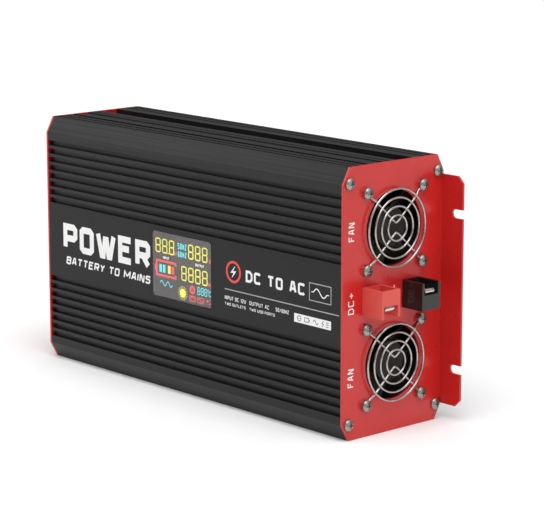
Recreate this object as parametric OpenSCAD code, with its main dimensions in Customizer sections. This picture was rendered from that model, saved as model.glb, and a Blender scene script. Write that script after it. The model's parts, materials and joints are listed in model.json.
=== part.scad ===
// Portable power inverter: a ribbed two-piece extruded case between two bent sheet end plates.
// Frame: X is the length (battery end at +X, mains end at -X), the display faces -Y, the mounting
// ears lie in the back plane at +Y, and Z is up. The origin is the middle of the base.

/* [Body] */
// Overall length over both end plates
body_l = 310; // [300:1:380]
// Depth from the display face to the mounting plane
body_d = 90.6; // [88:0.1:112]
// Height of the standing body
body_h = 178; // [176:1:216]
// Depth of each corner chamfer, along Y
chamfer_y = 5.9; // [5:0.1:6.5]
// Height of each corner chamfer, along Z
chamfer_z = 11; // [10:0.1:12]

/* [Extruded case] */
// Wall left behind the grooves of the front and back faces
wall_t = 2.6; // [2:0.1:3.2]
// Thickness of the top and bottom walls
top_t = 4.4; // [4:0.1:5.5]
// Depth of the cooling grooves
groove_d = 3; // [2:0.1:3.6]
// Width of a cooling groove
groove_w = 3.8; // [3:0.1:4.4]
// Distance from one cooling groove to the next
groove_pitch = 5.97; // [5.6:0.01:6]
// Cooling grooves in each of the four groups
groove_n = 8; // [4:1:8]
// Height at which the first cooling groove starts
groove_z = 16.5; // [15.5:0.1:17]
// Width of the deep channel along the top and the bottom
channel_w = 15; // [10:0.5:16]
// Depth of that channel
channel_d = 8; // [5:0.5:8.2]
// Distance from the display face to the middle of that channel
channel_y = 56.3; // [54:0.1:58]
// Thickness of the channel floor, where the two shells lap
floor_t = 3.6; // [3:0.1:4]
// Length of the lap between the two shells
lap_l = 6; // [4:0.5:8]
// Radius of the boss that takes a corner screw
port_r = 4.2; // [3.6:0.1:4.4]

/* [End plates] */
// Thickness of the bent sheet
plate_t = 1.6; // [1.2:0.1:2]
// How far a mounting ear stands out past its plate
ear_w = 18.8; // [14:0.1:24]
// Height of a mounting ear
ear_h = 153.8; // [140:0.1:155]
// How far the ear's middle lies below the body's middle
ear_drop = 1.2; // [0:0.1:2]
// Length of the corner cut of an ear
ear_chamfer = 4.5; // [2:0.1:6]
// Width of a mounting slot
slot_w = 6; // [5:0.1:7]
// Depth of a mounting slot from the ear's outer edge
slot_d = 9.3; // [7:0.1:12]
// Distance between the two slots of an ear
slot_pitch = 104; // [80:1:120]
// Distance of a corner screw from the top or bottom face
screw_in_z = 10.7; // [10:0.1:11.5]

/* [Screws] */
// Shank radius of the corner and fan screws
shank_r = 1.95; // [1.6:0.05:2.2]
// Head radius of the corner and fan screws
head_r = 3.85; // [3.5:0.05:4]
// Head height of the corner and fan screws
head_h = 2.9; // [2.2:0.1:3.2]
// Length of a corner screw below its head
corner_screw_l = 18; // [12:1:24]

/* [Fans] */
// Side of a fan frame
fan_w = 60; // [60:0.1:60]
// Depth of a fan
fan_t = 25; // [20:1:28]
// Distance between the screws of a fan
fan_pitch = 50; // [50:0.1:50]
// Distance between the two fan axes
fan_gap = 88.6; // [86:0.1:88.8]
// How far the pair of fans sits above the body's middle
fan_rise = 1.5; // [0:0.1:1.6]
// Radius of the air hole in the plate
air_hole_r = 24.7; // [22:0.1:25.2]
// Radius of the duct inside the fan frame
duct_r = 28.6; // [27:0.1:28.8]
// Radius over the fan blades
blade_tip_r = 27.6; // [25:0.1:28]
// Thickness of a fan blade
blade_t = 1.4; // [1:0.1:1.8]
// Blades on an impeller
blade_n = 7; // [5:1:9]
// Radius of the impeller hub
hub_r = 13; // [12:0.1:14]
// Radius of the fan shaft
shaft_r = 1.5; // [1.2:0.05:1.8]
// Radius of the guard wire
wire_r = 0.7; // [0.5:0.05:0.9]
// Height of the guard rings' middle above the plate
guard_h = 3; // [2.4:0.1:4]
// Radius of the smallest guard ring
ring_r = 8.4; // [7:0.1:9]
// Step from one guard ring to the next
ring_step = 5.67; // [5:0.01:6]
// Guard rings on a fan
ring_n = 4; // [3:1:4]

/* [Battery connectors] */
// Width of a connector housing
conn_w = 16.3; // [15:0.1:20]
// Height of a connector housing
conn_h = 18.2; // [16:0.1:21]
// How far a connector stands out of the plate
conn_out = 18; // [16:0.1:18.6]
// Wall of a connector housing
conn_wall = 1.6; // [1.2:0.1:2]
// Middle of the positive connector, along Y
conn_pos_y = -19.9; // [-22:0.1:-18]
// Middle of the negative connector, along Y
conn_neg_y = 16.5; // [15:0.1:20]
// Height of the connectors above the body's middle
conn_rise = 1; // [0:0.1:2]
// Height of the mouth in a connector's outer face
mouth_h = 8; // [7:0.1:8.5]
// Width of a contact blade
contact_w = 8; // [6:0.1:9]
// Thickness of a contact blade
contact_t = 1.2; // [1:0.1:1.6]
// Radius of a battery lead
lead_r = 3.2; // [2.5:0.1:3.4]

/* [Display] */
// Width of the display glass
glass_w = 62; // [50:0.5:66]
// Height of the display glass
glass_h = 45.8; // [40:0.1:48]
// Thickness of the display glass
glass_t = 1.5; // [1:0.1:2]
// Corner radius of the display glass
glass_r = 2.4; // [1:0.1:4]
// Middle of the display along X
display_x = -4; // [-20:0.5:20]
// Thickness of the printed front film
film_t = 0.4; // [0.2:0.05:0.5]

/* [Mains outlets] */
// Radius of the plug recess
recess_r = 19.75; // [19.5:0.05:20]
// Depth of the plug recess
recess_d = 17.5; // [17:0.1:18]
// Distance between the plug pins
pin_pitch = 19; // [19:0.1:19]
// Radius inside a pin sleeve
sleeve_r = 2.45; // [2.4:0.01:2.5]
// Side of an outlet's face
outlet_w = 48; // [46:0.5:50]
// Distance between the two outlets
outlet_pitch = 52; // [50:0.5:54]
// Height of the outlet pair above the body's middle
outlet_rise = 26; // [24:0.5:28]

/* [Power switch] */
// Length of the switch bezel
switch_l = 32; // [30:0.5:34]
// Width of the switch bezel
switch_w = 25; // [24:0.5:27]
// Total angle that the rocker travels
rocker_swing = 16; // [10:1:18]

/* [Clearances] */
// Gap on each side of a piece that drops into a cut-out
fit_gap = 0.1; // [0.05:0.01:0.2]
// Radial gap round a shaft that turns
run_gap = 0.05; // [0.02:0.01:0.09]
// Radial gap round a screw in a drilled hole
screw_gap = 0.2; // [0.1:0.05:0.3]

/* [Hidden] */
$fn = 48;
eps = 0.01;

mid_z = body_h / 2;
end_x = body_l / 2;
inner_x = end_x - plate_t;
front_y = -body_d / 2;
back_y = body_d / 2;
inner_wall = groove_d + wall_t;
seam_y = front_y + channel_y;
// A corner screw's head just clears the folded ear
screw_y = body_d / 2 - plate_t - head_r - run_gap;
corner_places = [for (y = [-screw_y, screw_y], z = [screw_in_z, body_h - screw_in_z]) [y, z]];
// Narrow grooves of the top and bottom faces: distance from the display face, width and depth
front_grooves = [[8.8, 2, 1.5], [15, 2.2, 1.5], [22.3, 4, 2.6], [32.1, 10.4, 0.8], [42.1, 1.6, 1.2]];
// The same for the strip behind the channel, from the mounting plane
back_grooves = [[17.3, 2.2, 1.5], [11.3, 2.2, 1.5]];
band_z = groove_z + (groove_n - 1) * groove_pitch + groove_w;
film_margin = 0.6;

// Main board: it slides in two pairs of rails in the rear shell
board_t = 1.6;
board_back = 10.3;
board_y = back_y - board_back - board_t;
board_edge = 8;
board_grip = 3;
rail_t = 2;
board_x0 = -inner_x + 14;
board_x1 = inner_x - 29;

fan_z = [mid_z + fan_rise + fan_gap / 2, mid_z + fan_rise - fan_gap / 2];
strut_t = 2.5;
tube_r = 4.8;
bearing_r = 3.5;
bearing_t = 3;
bearing_z = [6.5, 17.5];
conn_z = mid_z + conn_rise;
mouth_w = conn_w - 2 * conn_wall - 0.6;
blade_z = -conn_h / 2 + mouth_h - 0.2 - contact_t / 2;
barrel_l = 16;
barrel_x = -14;
lead_bend = 9;
lead_turn = [inner_x - 60, inner_x - 43.5];

outlet_z = [mid_z + outlet_rise + outlet_pitch / 2, mid_z + outlet_rise - outlet_pitch / 2];
outlet_face = 3;
outlet_floor = 4;
sleeve_l = 14;
sleeve_wall = 1.5;
outlet_body_r = recess_r + 2.2;
outlet_screw = 20.3;
small_shank_r = 1.4;
switch_pos = [-20, 40];
pivot_depth = 2.5;
rocker_axle_r = 1.5;
usb_pos = [8.5, 40];
lamp_pos = [31, 54];
earth_pos = [31, 28];
lamp_r = 2.5;
stud_r = 2.5;
stud_shoulder_r = 3;

// ---- Helpers --------------------------------------------------------------------------------

// Sweeps a flat outline, drawn as depth and height, along the length
module along_x(l) rotate([90, 0, 90]) linear_extrude(l, center = true) children();

// Stands a piece on the battery end's outer face, its own Z pointing out
module on_battery_end(y, z) translate([end_x, y, z]) rotate([0, 90, 0]) children();

// Stands a piece on the mains end's outer face: its Z points out and its X points up
module on_mains_end(y, z) translate([-end_x, y, z]) rotate([0, -90, 0]) children();

// Puts a fan behind the battery plate, its own Z pointing into the case
module in_fan_place(i) translate([inner_x, 0, fan_z[i]]) rotate([0, -90, 0]) children();

// Stands a component on the main board, its own Z pointing at the display
module on_board(x, z) translate([x, board_y, z]) rotate([90, 0, 0]) children();

module rod(a, b, r) {
    d = b - a;
    translate(a) rotate([0, acos(d[2] / norm(d)), atan2(d[1], d[0])]) cylinder(h = norm(d), r = r);
}

module rounded_box(w, d, h, r) linear_extrude(h) {
    square([w - 2 * r, d], center = true);
    square([w, d - 2 * r], center = true);
    for (x = [-1, 1], y = [-1, 1]) translate([x * (w / 2 - r), y * (d / 2 - r)]) circle(r);
}

// Cross-recessed pan head screw: its head stands on Z = 0 and its shank points down
module pan_screw(l, r, cap_r, cap_h) {
    dome_r = (cap_r * cap_r + cap_h * cap_h) / (2 * cap_h) * 1.25;
    difference() {
        union() {
            intersection() {
                cylinder(h = cap_h, r = cap_r);
                translate([0, 0, cap_h - dome_r]) sphere(dome_r);
            }
            translate([0, 0, -l]) cylinder(h = l + eps, r = r);
        }
        for (a = [0, 90]) rotate(a) translate([-cap_r * 0.55, -0.45, cap_h * 0.45])
            cube([cap_r * 1.1, 0.9, cap_h]);
    }
}

module hex_nut(r, bore, t) difference() {
    cylinder(h = t, r = r, $fn = 6);
    translate([0, 0, -eps]) cylinder(h = t + 2 * eps, r = bore);
}

// ---- Case -----------------------------------------------------------------------------------

module body_outline(in_y = 0, in_z = 0) {
    y = body_d / 2 - in_y;
    low = in_z;
    high = body_h - in_z;
    polygon([[-y, low + chamfer_z], [-y + chamfer_y, low], [y - chamfer_y, low], [y, low + chamfer_z],
        [y, high - chamfer_z], [y - chamfer_y, high], [-y + chamfer_y, high], [-y, high - chamfer_z]]);
}

// Repeats a flat shape on the bottom face and, mirrored, on the top face
module bottom_and_top() {
    children();
    translate([0, body_h]) mirror([0, 1]) children();
}

module face_grooves() bottom_and_top() for (side = [-1, 1], k = [0 : groove_n - 1])
    translate([side * (body_d / 2 - groove_d / 2), groove_z + k * groove_pitch + groove_w / 2])
        square([groove_d + eps, groove_w], center = true);

module edge_grooves() bottom_and_top() {
    for (g = front_grooves) translate([front_y + g[0] - g[1] / 2, -1]) square([g[1], g[2] + 1]);
    for (g = back_grooves) translate([back_y - g[0] - g[1] / 2, -1]) square([g[1], g[2] + 1]);
    translate([seam_y - channel_w / 2, -1]) square([channel_w, channel_d + 1]);
}

module board_rails() bottom_and_top() difference() {
    translate([board_y - rail_t, 0])
        square([board_t + 2 * rail_t, board_edge + board_grip]);
    translate([board_y - fit_gap, board_edge - fit_gap]) square([board_t + 2 * fit_gap, board_edge]);
}

// The space inside the case, less the screw bosses, the channel floors and the board's rails
module hollow() difference() {
    body_outline(inner_wall, top_t);
    for (p = corner_places) translate(p) circle(port_r);
    bottom_and_top() translate([seam_y - channel_w / 2 - wall_t, 0])
        square([channel_w + 2 * wall_t, channel_d + floor_t]);
    board_rails();
}

module case_section() difference() {
    body_outline();
    hollow();
    face_grooves();
    edge_grooves();
    for (p = corner_places) translate(p) circle(shank_r + run_gap);
}

// The front shell's side of the seam, grown by a gap; its tongue is the outer half of each lap
module front_side(gap) {
    lap_z = channel_d + floor_t / 2;
    translate([front_y - 1, -1]) square([channel_y - lap_l / 2 + 1 + gap, body_h + 2]);
    bottom_and_top() translate([front_y, -1]) square([channel_y + lap_l / 2 + gap, lap_z + 1 + gap]);
}

module front_shell() color("#2b2b2b") difference() {
    along_x(2 * inner_x) difference() {
        intersection() {
            case_section();
            front_side(0);
        }
        translate([front_y - 1, band_z + film_margin])
            square([1 + film_t, body_h - 2 * (band_z + film_margin)]);
    }
    translate([display_x, front_y - 1, mid_z]) rotate([-90, 0, 0])
        rounded_box(glass_w + 2 * fit_gap, glass_h + 2 * fit_gap, inner_wall + 2, glass_r);
    display_screw_places() translate([0, 0, -display_screw_l - 0.3]) cylinder(h = 12, r = 1.35);
}

module rear_shell() color("#262626") along_x(2 * inner_x) difference() {
    case_section();
    front_side(fit_gap);
}

// ---- End plates -----------------------------------------------------------------------------

// Blank of one end: the flat plate and, folded out of its back edge, the slotted mounting ear
module end_blank() {
    ear_z = mid_z - ear_drop;
    bend_r = plate_t + 0.8;
    difference() {
        union() {
            translate([end_x - plate_t / 2, 0, 0]) along_x(plate_t) body_outline();
            translate([0, 0, ear_z]) rotate([90, 0, 0]) translate([0, 0, -back_y])
                linear_extrude(plate_t) polygon([[end_x - plate_t, -ear_h / 2],
                    [end_x + ear_w - ear_chamfer, -ear_h / 2], [end_x + ear_w, -ear_h / 2 + ear_chamfer],
                    [end_x + ear_w, ear_h / 2 - ear_chamfer], [end_x + ear_w - ear_chamfer, ear_h / 2],
                    [end_x - plate_t, ear_h / 2]]);
        }
        translate([inner_x, back_y, ear_z - ear_h / 2 - 1]) difference() {
            translate([-1, -bend_r, 0]) cube([1 + bend_r, bend_r + 1, ear_h + 2]);
            translate([bend_r, -bend_r, -1]) cylinder(h = ear_h + 4, r = bend_r);
        }
        for (side = [-1, 1]) translate([end_x + ear_w, 0, ear_z + side * slot_pitch / 2])
            rotate([-90, 0, 0]) linear_extrude(body_d) {
                translate([-slot_d + slot_w / 2, -slot_w / 2]) square([slot_d, slot_w]);
                translate([-slot_d + slot_w / 2, 0]) circle(slot_w / 2);
            }
        for (p = corner_places) on_battery_end(p[0], p[1])
            translate([0, 0, -plate_t - 1]) cylinder(h = plate_t + 2, r = shank_r + screw_gap);
    }
}

module battery_end_plate() color("#c0302c") difference() {
    end_blank();
    for (z = fan_z) on_battery_end(0, z) translate([0, 0, -plate_t - 1]) {
        cylinder(h = plate_t + 2, r = air_hole_r, $fn = 96);
        fan_corners() cylinder(h = plate_t + 2, r = shank_r + screw_gap);
    }
    for (y = [conn_pos_y, conn_neg_y]) translate([end_x, y, conn_z])
        cube([4 * plate_t, conn_w + 2 * fit_gap, conn_h + 2 * fit_gap], center = true);
}

module mains_end_plate() color("#c0302c") difference() {
    mirror([1, 0, 0]) end_blank();
    for (z = outlet_z) on_mains_end(0, z) translate([0, 0, -plate_t - 1]) {
        cylinder(h = plate_t + 2, r = outlet_body_r + fit_gap, $fn = 96);
        outlet_corners() cylinder(h = plate_t + 2, r = small_shank_r + screw_gap);
    }
    on_mains_end(switch_pos[0], switch_pos[1])
        cube([switch_l - 3, switch_w - 3, 4 * plate_t], center = true);
    on_mains_end(usb_pos[0], usb_pos[1])
        cube([usb_l - 3 + 2 * fit_gap, usb_w - 3 + 2 * fit_gap, 4 * plate_t], center = true);
    on_mains_end(lamp_pos[0], lamp_pos[1]) cylinder(h = 9, r = lamp_r + fit_gap, center = true);
    on_mains_end(earth_pos[0], earth_pos[1]) cylinder(h = 9, r = stud_shoulder_r + fit_gap, center = true);
}

module battery_plate_screws() color("#b9bcc0") for (p = corner_places)
    on_battery_end(p[0], p[1]) pan_screw(corner_screw_l, shank_r, head_r, head_h);

module mains_plate_screws() color("#b9bcc0") for (p = corner_places)
    on_mains_end(p[0], p[1]) pan_screw(corner_screw_l, shank_r, head_r, head_h);

// ---- Display --------------------------------------------------------------------------------

display_board_w = glass_w + 14;
display_board_h = glass_h + 12;
display_screw_l = 4.4;
bezel_t = 2.8;
lcd_t = 3;

module display_screw_places() for (sx = [-1, 1], sz = [-1, 1])
    translate([display_x + sx * (display_board_w / 2 - 3.2), front_y + inner_wall + fit_gap + board_t,
        mid_z + sz * (display_board_h / 2 - 3)]) rotate([-90, 0, 0]) children();

module front_film() color("#202124") difference() {
    translate([0, front_y + film_t / 2, mid_z])
        cube([2 * inner_x, film_t, body_h - 2 * (band_z + film_margin + fit_gap)], center = true);
    translate([display_x, front_y - 1, mid_z]) rotate([-90, 0, 0])
        rounded_box(glass_w + 2 * fit_gap, glass_h + 2 * fit_gap, 3, glass_r);
}

module display_glass() color("#5a5250") translate([display_x, front_y, mid_z]) rotate([-90, 0, 0])
    rounded_box(glass_w, glass_h, glass_t, glass_r);

module display_frame() color("#18191b") translate([display_x, front_y + glass_t, mid_z])
    rotate([-90, 0, 0]) difference() {
        rounded_box(glass_w, glass_h, inner_wall + fit_gap - glass_t, glass_r);
        cube([glass_w - 2 * bezel_t, glass_h - 2 * bezel_t, 4 * inner_wall], center = true);
    }

module lcd_panel() color("#6b6460") translate([display_x, front_y + glass_t + lcd_t / 2, mid_z])
    cube([glass_w - 2 * bezel_t - 2 * fit_gap, lcd_t, glass_h - 2 * bezel_t - 2 * fit_gap], center = true);

module display_board() color("#1f6b3a") difference() {
    translate([display_x, front_y + inner_wall + fit_gap + board_t / 2, mid_z])
        cube([display_board_w, board_t, display_board_h], center = true);
    display_screw_places() cylinder(h = 9, r = 1.5, center = true);
}

module display_screws() color("#b9bcc0") display_screw_places()
    pan_screw(display_screw_l, 1.3, 2.6, 1.8);

module display_ribbon() color("#9a9ea3") {
    start = front_y + inner_wall + fit_gap + board_t;
    translate([display_x - 22, start, mid_z - 12]) cube([14, board_y - start, 0.9]);
}

// ---- Battery connectors ---------------------------------------------------------------------

// Turns a connector's piece into place; the negative one is the same moulding upside down
module connector_place(polarity) translate([end_x, polarity > 0 ? conn_pos_y : conn_neg_y, conn_z])
    rotate([polarity > 0 ? 0 : 180, 0, 0]) children();

module connector_housing() {
    back = 12;
    difference() {
        union() {
            translate([-back, -conn_w / 2, -conn_h / 2]) cube([back + conn_out, conn_w, conn_h]);
            translate([-plate_t - 2, -conn_w / 2 - 1.5, -conn_h / 2 - 1.5])
                cube([2, conn_w + 3, conn_h + 3]);
        }
        translate([1.5, -conn_w / 2 + conn_wall, 0.6])
            cube([conn_out - 1.5 - conn_wall, conn_w - 2 * conn_wall, conn_h]);
        translate([1.5, -mouth_w / 2, -conn_h / 2 - 1]) cube([conn_out, mouth_w, mouth_h + 1]);
        translate([-back - 1, -contact_w / 2 - fit_gap, blade_z - contact_t / 2 - fit_gap])
            cube([back + 4, contact_w + 2 * fit_gap, contact_t + 2 * fit_gap]);
    }
}

// Blade with a rolled lip at the mouth and a crimped barrel at the back
module contact() {
    lip_r = 1.8;
    blade_l = conn_out - 1.2 - lip_r;
    translate([barrel_x - eps, -contact_w / 2, blade_z - contact_t / 2])
        cube([blade_l - barrel_x + eps, contact_w, contact_t]);
    translate([blade_l, 0, blade_z + contact_t / 2 - lip_r]) difference() {
        rotate([90, 0, 0]) cylinder(h = contact_w, r = lip_r, center = true);
        rotate([90, 0, 0]) cylinder(h = contact_w + 1, r = lip_r - contact_t, center = true);
        translate([-lip_r - 1, -contact_w, -lip_r - 1])
            cube([lip_r + 1, 2 * contact_w, 2 * lip_r + 2]);
    }
    translate([barrel_x, 0, blade_z]) rotate([0, -90, 0]) difference() {
        cylinder(h = barrel_l, r = lead_r + 1.3);
        translate([0, 0, 3]) cylinder(h = barrel_l, r = lead_r + run_gap);
    }
}

module positive_housing() color("#c8423c") connector_place(1) connector_housing();
module negative_housing() color("#1c1c1e") connector_place(-1) connector_housing();
module positive_contact() color("#c9ccd0") connector_place(1) contact();
module negative_contact() color("#c9ccd0") connector_place(-1) contact();

// Battery lead: out of its barrel, round one bend and straight into its board terminal
module battery_lead(polarity, turn_x) {
    y = polarity > 0 ? conn_pos_y : conn_neg_y;
    x0 = end_x + barrel_x - 3;
    translate([0, y, conn_z + polarity * blade_z]) {
        translate([turn_x + lead_bend, 0, 0]) rotate([0, 90, 0])
            cylinder(h = x0 - turn_x - lead_bend, r = lead_r);
        translate([turn_x + lead_bend, lead_bend, 0]) rotate([0, 0, 180])
            rotate_extrude(angle = 90) translate([lead_bend, 0]) circle(lead_r);
        translate([turn_x, lead_bend, 0]) rotate([-90, 0, 0])
            cylinder(h = board_y - 3 - y - lead_bend, r = lead_r);
    }
}

module positive_lead() color("#b02020") battery_lead(1, lead_turn[0]);
module negative_lead() color("#202020") battery_lead(-1, lead_turn[1]);

module board_terminals() color("#c8a24a") for (p = [[lead_turn[0], 1], [lead_turn[1], -1]])
    on_board(p[0], conn_z + p[1] * blade_z) difference() {
        translate([-6, -6, 0]) cube([12, 12, 8]);
        translate([0, 0, 3]) cylinder(h = 9, r = lead_r + run_gap);
    }

// ---- Fans -----------------------------------------------------------------------------------

module fan_corners() for (x = [-1, 1], y = [-1, 1])
    translate([x * fan_pitch / 2, y * fan_pitch / 2, 0]) children();

module fan_frame() {
    difference() {
        rounded_box(fan_w, fan_w, fan_t, 4);
        translate([0, 0, -1]) cylinder(h = fan_t + 2, r = duct_r, $fn = 96);
        fan_corners() translate([0, 0, -1]) cylinder(h = fan_t + 2, r = shank_r + screw_gap);
    }
    difference() {
        union() {
            translate([0, 0, fan_t - strut_t]) cylinder(h = strut_t, r = hub_r + 0.8);
            for (a = [45 : 90 : 359]) rotate(a) translate([hub_r, -2, fan_t - strut_t])
                cube([duct_r - hub_r + 1, 4, strut_t]);
            translate([0, 0, bearing_z[0]]) cylinder(h = fan_t - bearing_z[0] - 1, r = tube_r);
        }
        translate([0, 0, bearing_z[0] - 1]) cylinder(h = bearing_z[1] + bearing_t - bearing_z[0] + 1,
            r = bearing_r);
    }
}

module fan_impeller() {
    cap_z = 1.6;
    cap_t = 2.4;
    skirt_end = fan_t - strut_t - 1;
    difference() {
        translate([0, 0, cap_z]) cylinder(h = skirt_end - cap_z, r = hub_r);
        translate([0, 0, cap_z + cap_t]) cylinder(h = fan_t, r = hub_r - 1.4);
    }
    intersection() {
        translate([0, 0, cap_z + 1]) difference() {
            cylinder(h = fan_t - strut_t - cap_z - 3, r = blade_tip_r);
            translate([0, 0, -1]) cylinder(h = fan_t, r = hub_r - 0.6);
        }
        for (k = [0 : blade_n - 1]) rotate(k * 360 / blade_n)
            translate([(hub_r + blade_tip_r) / 2, 0, (fan_t - strut_t) / 2]) rotate([38, 0, 0])
                cube([blade_tip_r - hub_r + 4, 19, blade_t], center = true);
    }
}

module fan_shaft() translate([0, 0, 4]) cylinder(h = bearing_z[1] + bearing_t - 4, r = shaft_r);

module fan_bearings() for (z = bearing_z) translate([0, 0, z]) difference() {
    cylinder(h = bearing_t, r = bearing_r);
    translate([0, 0, -1]) cylinder(h = bearing_t + 2, r = shaft_r + run_gap);
}

// Four wound poles round the bearing tube
module fan_stator() translate([0, 0, bearing_z[0] + 2.5]) difference() {
    union() {
        cylinder(h = 9, r = tube_r + 1.6);
        for (a = [0 : 90 : 359]) rotate(a) {
            translate([tube_r, -2.2, 1]) cube([4, 4.4, 7]);
            intersection() {
                translate([tube_r + 3.2, -5, 1.5]) cube([2.2, 10, 6]);
                cylinder(h = 9, r = hub_r - 2.4);
            }
        }
    }
    translate([0, 0, -1]) cylinder(h = 12, r = tube_r);
}

// One V of guard wire: from one flattened screw loop over a step and a round apex to the other.
// The balls that round its bends are a touch larger than the wire, and its feet a touch thinner.
module guard_vee() {
    v_z = guard_h - 1.5 * wire_r;
    bend_r = 1.06 * wire_r;
    half = fan_pitch / 2;
    apex = [0, 3.1, v_z];
    turn = [2.1, 4.4, v_z];
    out = [half - turn[0], half - turn[1], 0] / norm([half - turn[0], half - turn[1]]);
    foot = [half, half, bend_r] - 2.9 * out;
    step_low = [half, half, bend_r] - 5.6 * out;
    step_high = [half, half, v_z] - 8.6 * out;
    for (s = [-1, 1]) {
        side = [[s, 0, 0], [0, 1, 0], [0, 0, 1]];
        rod(side * foot, side * step_low, 0.9 * wire_r);
        rod(side * step_low, side * step_high, wire_r);
        rod(side * step_high, side * turn, wire_r);
        rod(side * turn, apex, wire_r);
        for (p = [step_low, step_high, turn]) translate(side * p) sphere(bend_r);
        translate([s * half, half, 0]) difference() {
            cylinder(h = 2 * wire_r, r = 2.9 + wire_r);
            translate([0, 0, -1]) cylinder(h = 4, r = 2.9 - wire_r);
        }
    }
    translate(apex) sphere(bend_r);
}

module fan_guard() {
    for (k = [0 : ring_n - 1]) translate([0, 0, guard_h])
        rotate_extrude($fn = 96) translate([ring_r + k * ring_step, 0]) circle(wire_r, $fn = 24);
    guard_vee($fn = 24);
    rotate(180) guard_vee($fn = 24);
}

module upper_fan_frame() color("#1b1c1e") in_fan_place(0) fan_frame();
module lower_fan_frame() color("#1b1c1e") in_fan_place(1) fan_frame();
module upper_fan_impeller() color("#3a362a") in_fan_place(0) fan_impeller();
module lower_fan_impeller() color("#3a362a") in_fan_place(1) fan_impeller();
module upper_fan_shaft() color("#b9bcc0") in_fan_place(0) fan_shaft();
module lower_fan_shaft() color("#b9bcc0") in_fan_place(1) fan_shaft();
module upper_fan_bearings() color("#a8abb0") in_fan_place(0) fan_bearings();
module lower_fan_bearings() color("#a8abb0") in_fan_place(1) fan_bearings();
module upper_fan_stator() color("#a5632c") in_fan_place(0) fan_stator();
module lower_fan_stator() color("#a5632c") in_fan_place(1) fan_stator();
// The guard's local X points down once it stands on the end, so a quarter turn sets its V upright
module upper_fan_guard() color("#c3c6ca") on_battery_end(0, fan_z[0]) rotate(90) fan_guard();
module lower_fan_guard() color("#c3c6ca") on_battery_end(0, fan_z[1]) rotate(90) fan_guard();

module fan_screws() color("#b9bcc0") for (z = fan_z) on_battery_end(0, z) fan_corners()
    translate([0, 0, 2 * wire_r]) pan_screw(2 * wire_r + plate_t + fan_t + 5, shank_r, head_r, head_h);

module fan_nuts() color("#a8abb0") for (i = [0, 1]) in_fan_place(i) fan_corners()
    translate([0, 0, fan_t]) hex_nut(4.04, shank_r + run_gap, 3.2);

// ---- Mains outlets --------------------------------------------------------------------------

module outlet_corners() for (s = [-1, 1]) translate([s * outlet_screw, s * outlet_screw, 0]) children();
module outlet_pins() for (s = [-1, 1]) translate([0, s * pin_pitch / 2, 0]) children();

module outlet_body() {
    floor_z = outlet_face - recess_d;
    clip_w = 5;
    difference() {
        union() {
            rounded_box(outlet_w, outlet_w, outlet_face, 4);
            translate([0, 0, floor_z - outlet_floor])
                cylinder(h = recess_d + outlet_floor - 1, r = outlet_body_r, $fn = 96);
            outlet_pins() translate([0, 0, floor_z - outlet_floor - sleeve_l])
                cylinder(h = sleeve_l + 1, r = sleeve_r + sleeve_wall + 1.6);
        }
        translate([0, 0, floor_z]) cylinder(h = recess_d + 1, r = recess_r, $fn = 96);
        outlet_pins() translate([0, 0, floor_z - outlet_floor - 1])
            cylinder(h = outlet_floor + 2, r = sleeve_r + 0.25);
        outlet_pins() translate([0, 0, floor_z - outlet_floor - sleeve_l - 1])
            cylinder(h = sleeve_l + 1, r = sleeve_r + sleeve_wall + run_gap);
        outlet_corners() translate([0, 0, -1]) cylinder(h = outlet_face + 2, r = small_shank_r + screw_gap);
        for (s = [-1, 1]) translate([s * (recess_r + 0.6), 0, floor_z - outlet_floor / 2 + 5])
            cube([1.8, clip_w, 2 * outlet_floor + 18], center = true);
    }
}

module upper_outlet_body() color("#202124") on_mains_end(0, outlet_z[0]) outlet_body();
module lower_outlet_body() color("#202124") on_mains_end(0, outlet_z[1]) outlet_body();

module outlet_sleeves() color("#c8a24a") for (z = outlet_z) on_mains_end(0, z) outlet_pins()
    translate([0, 0, outlet_face - recess_d - outlet_floor - sleeve_l]) difference() {
        cylinder(h = sleeve_l, r = sleeve_r + sleeve_wall);
        translate([0, 0, 2]) cylinder(h = sleeve_l, r = sleeve_r);
    }

module outlet_earth_clips() color("#c9ccd0") for (z = outlet_z) on_mains_end(0, z) {
    strip_t = 0.9;
    back_z = outlet_face - recess_d - outlet_floor - strip_t - fit_gap;
    leg_h = recess_d + outlet_floor + strip_t - 6;
    difference() {
        union() {
            for (s = [-1, 1]) translate([s * (recess_r + 0.15 + strip_t / 2), 0, back_z + leg_h / 2])
                cube([strip_t, 4, leg_h], center = true);
            translate([0, 0, back_z + strip_t / 2])
                cube([2 * recess_r + 0.3 + 2 * strip_t, 4, strip_t], center = true);
        }
        cylinder(h = 99, r = 1.2, center = true);
    }
}

module outlet_screws() color("#b9bcc0") for (z = outlet_z) on_mains_end(0, z) outlet_corners()
    translate([0, 0, outlet_face]) pan_screw(outlet_face + plate_t + 4, small_shank_r, 2.6, 1.6);

// ---- Power switch ---------------------------------------------------------------------------

rocker_space_r = 12.7;

module switch_housing() color("#17181a") on_mains_end(switch_pos[0], switch_pos[1]) difference() {
    union() {
        rounded_box(switch_l, switch_w, 2, 1.5);
        translate([0, 0, -22]) linear_extrude(22.5) square([switch_l - 3.4, switch_w - 3.4], center = true);
    }
    translate([-rocker_space_r, -(switch_w - 6) / 2, -14]) cube([2 * rocker_space_r, switch_w - 6, 20]);
    translate([0, 0, -pivot_depth]) rotate([90, 0, 0])
        cylinder(h = switch_w - 3.8, r = rocker_axle_r + run_gap, center = true);
}

// Rocker, stored with its lower half pressed in
module switch_rocker() color("#b3211d") on_mains_end(switch_pos[0], switch_pos[1])
    translate([0, 0, -pivot_depth]) rotate([0, -rocker_swing / 2, 0]) {
        rotate([90, 0, 0]) {
            linear_extrude(switch_w - 7, center = true)
                polygon([[-10.9, 5.8], [0, 4.4], [10.9, 5.8], [12.2, 2], [9, -8], [-9, -8], [-12.2, 2]]);
            cylinder(h = switch_w - 4.2, r = rocker_axle_r, center = true);
        }
    }

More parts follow.
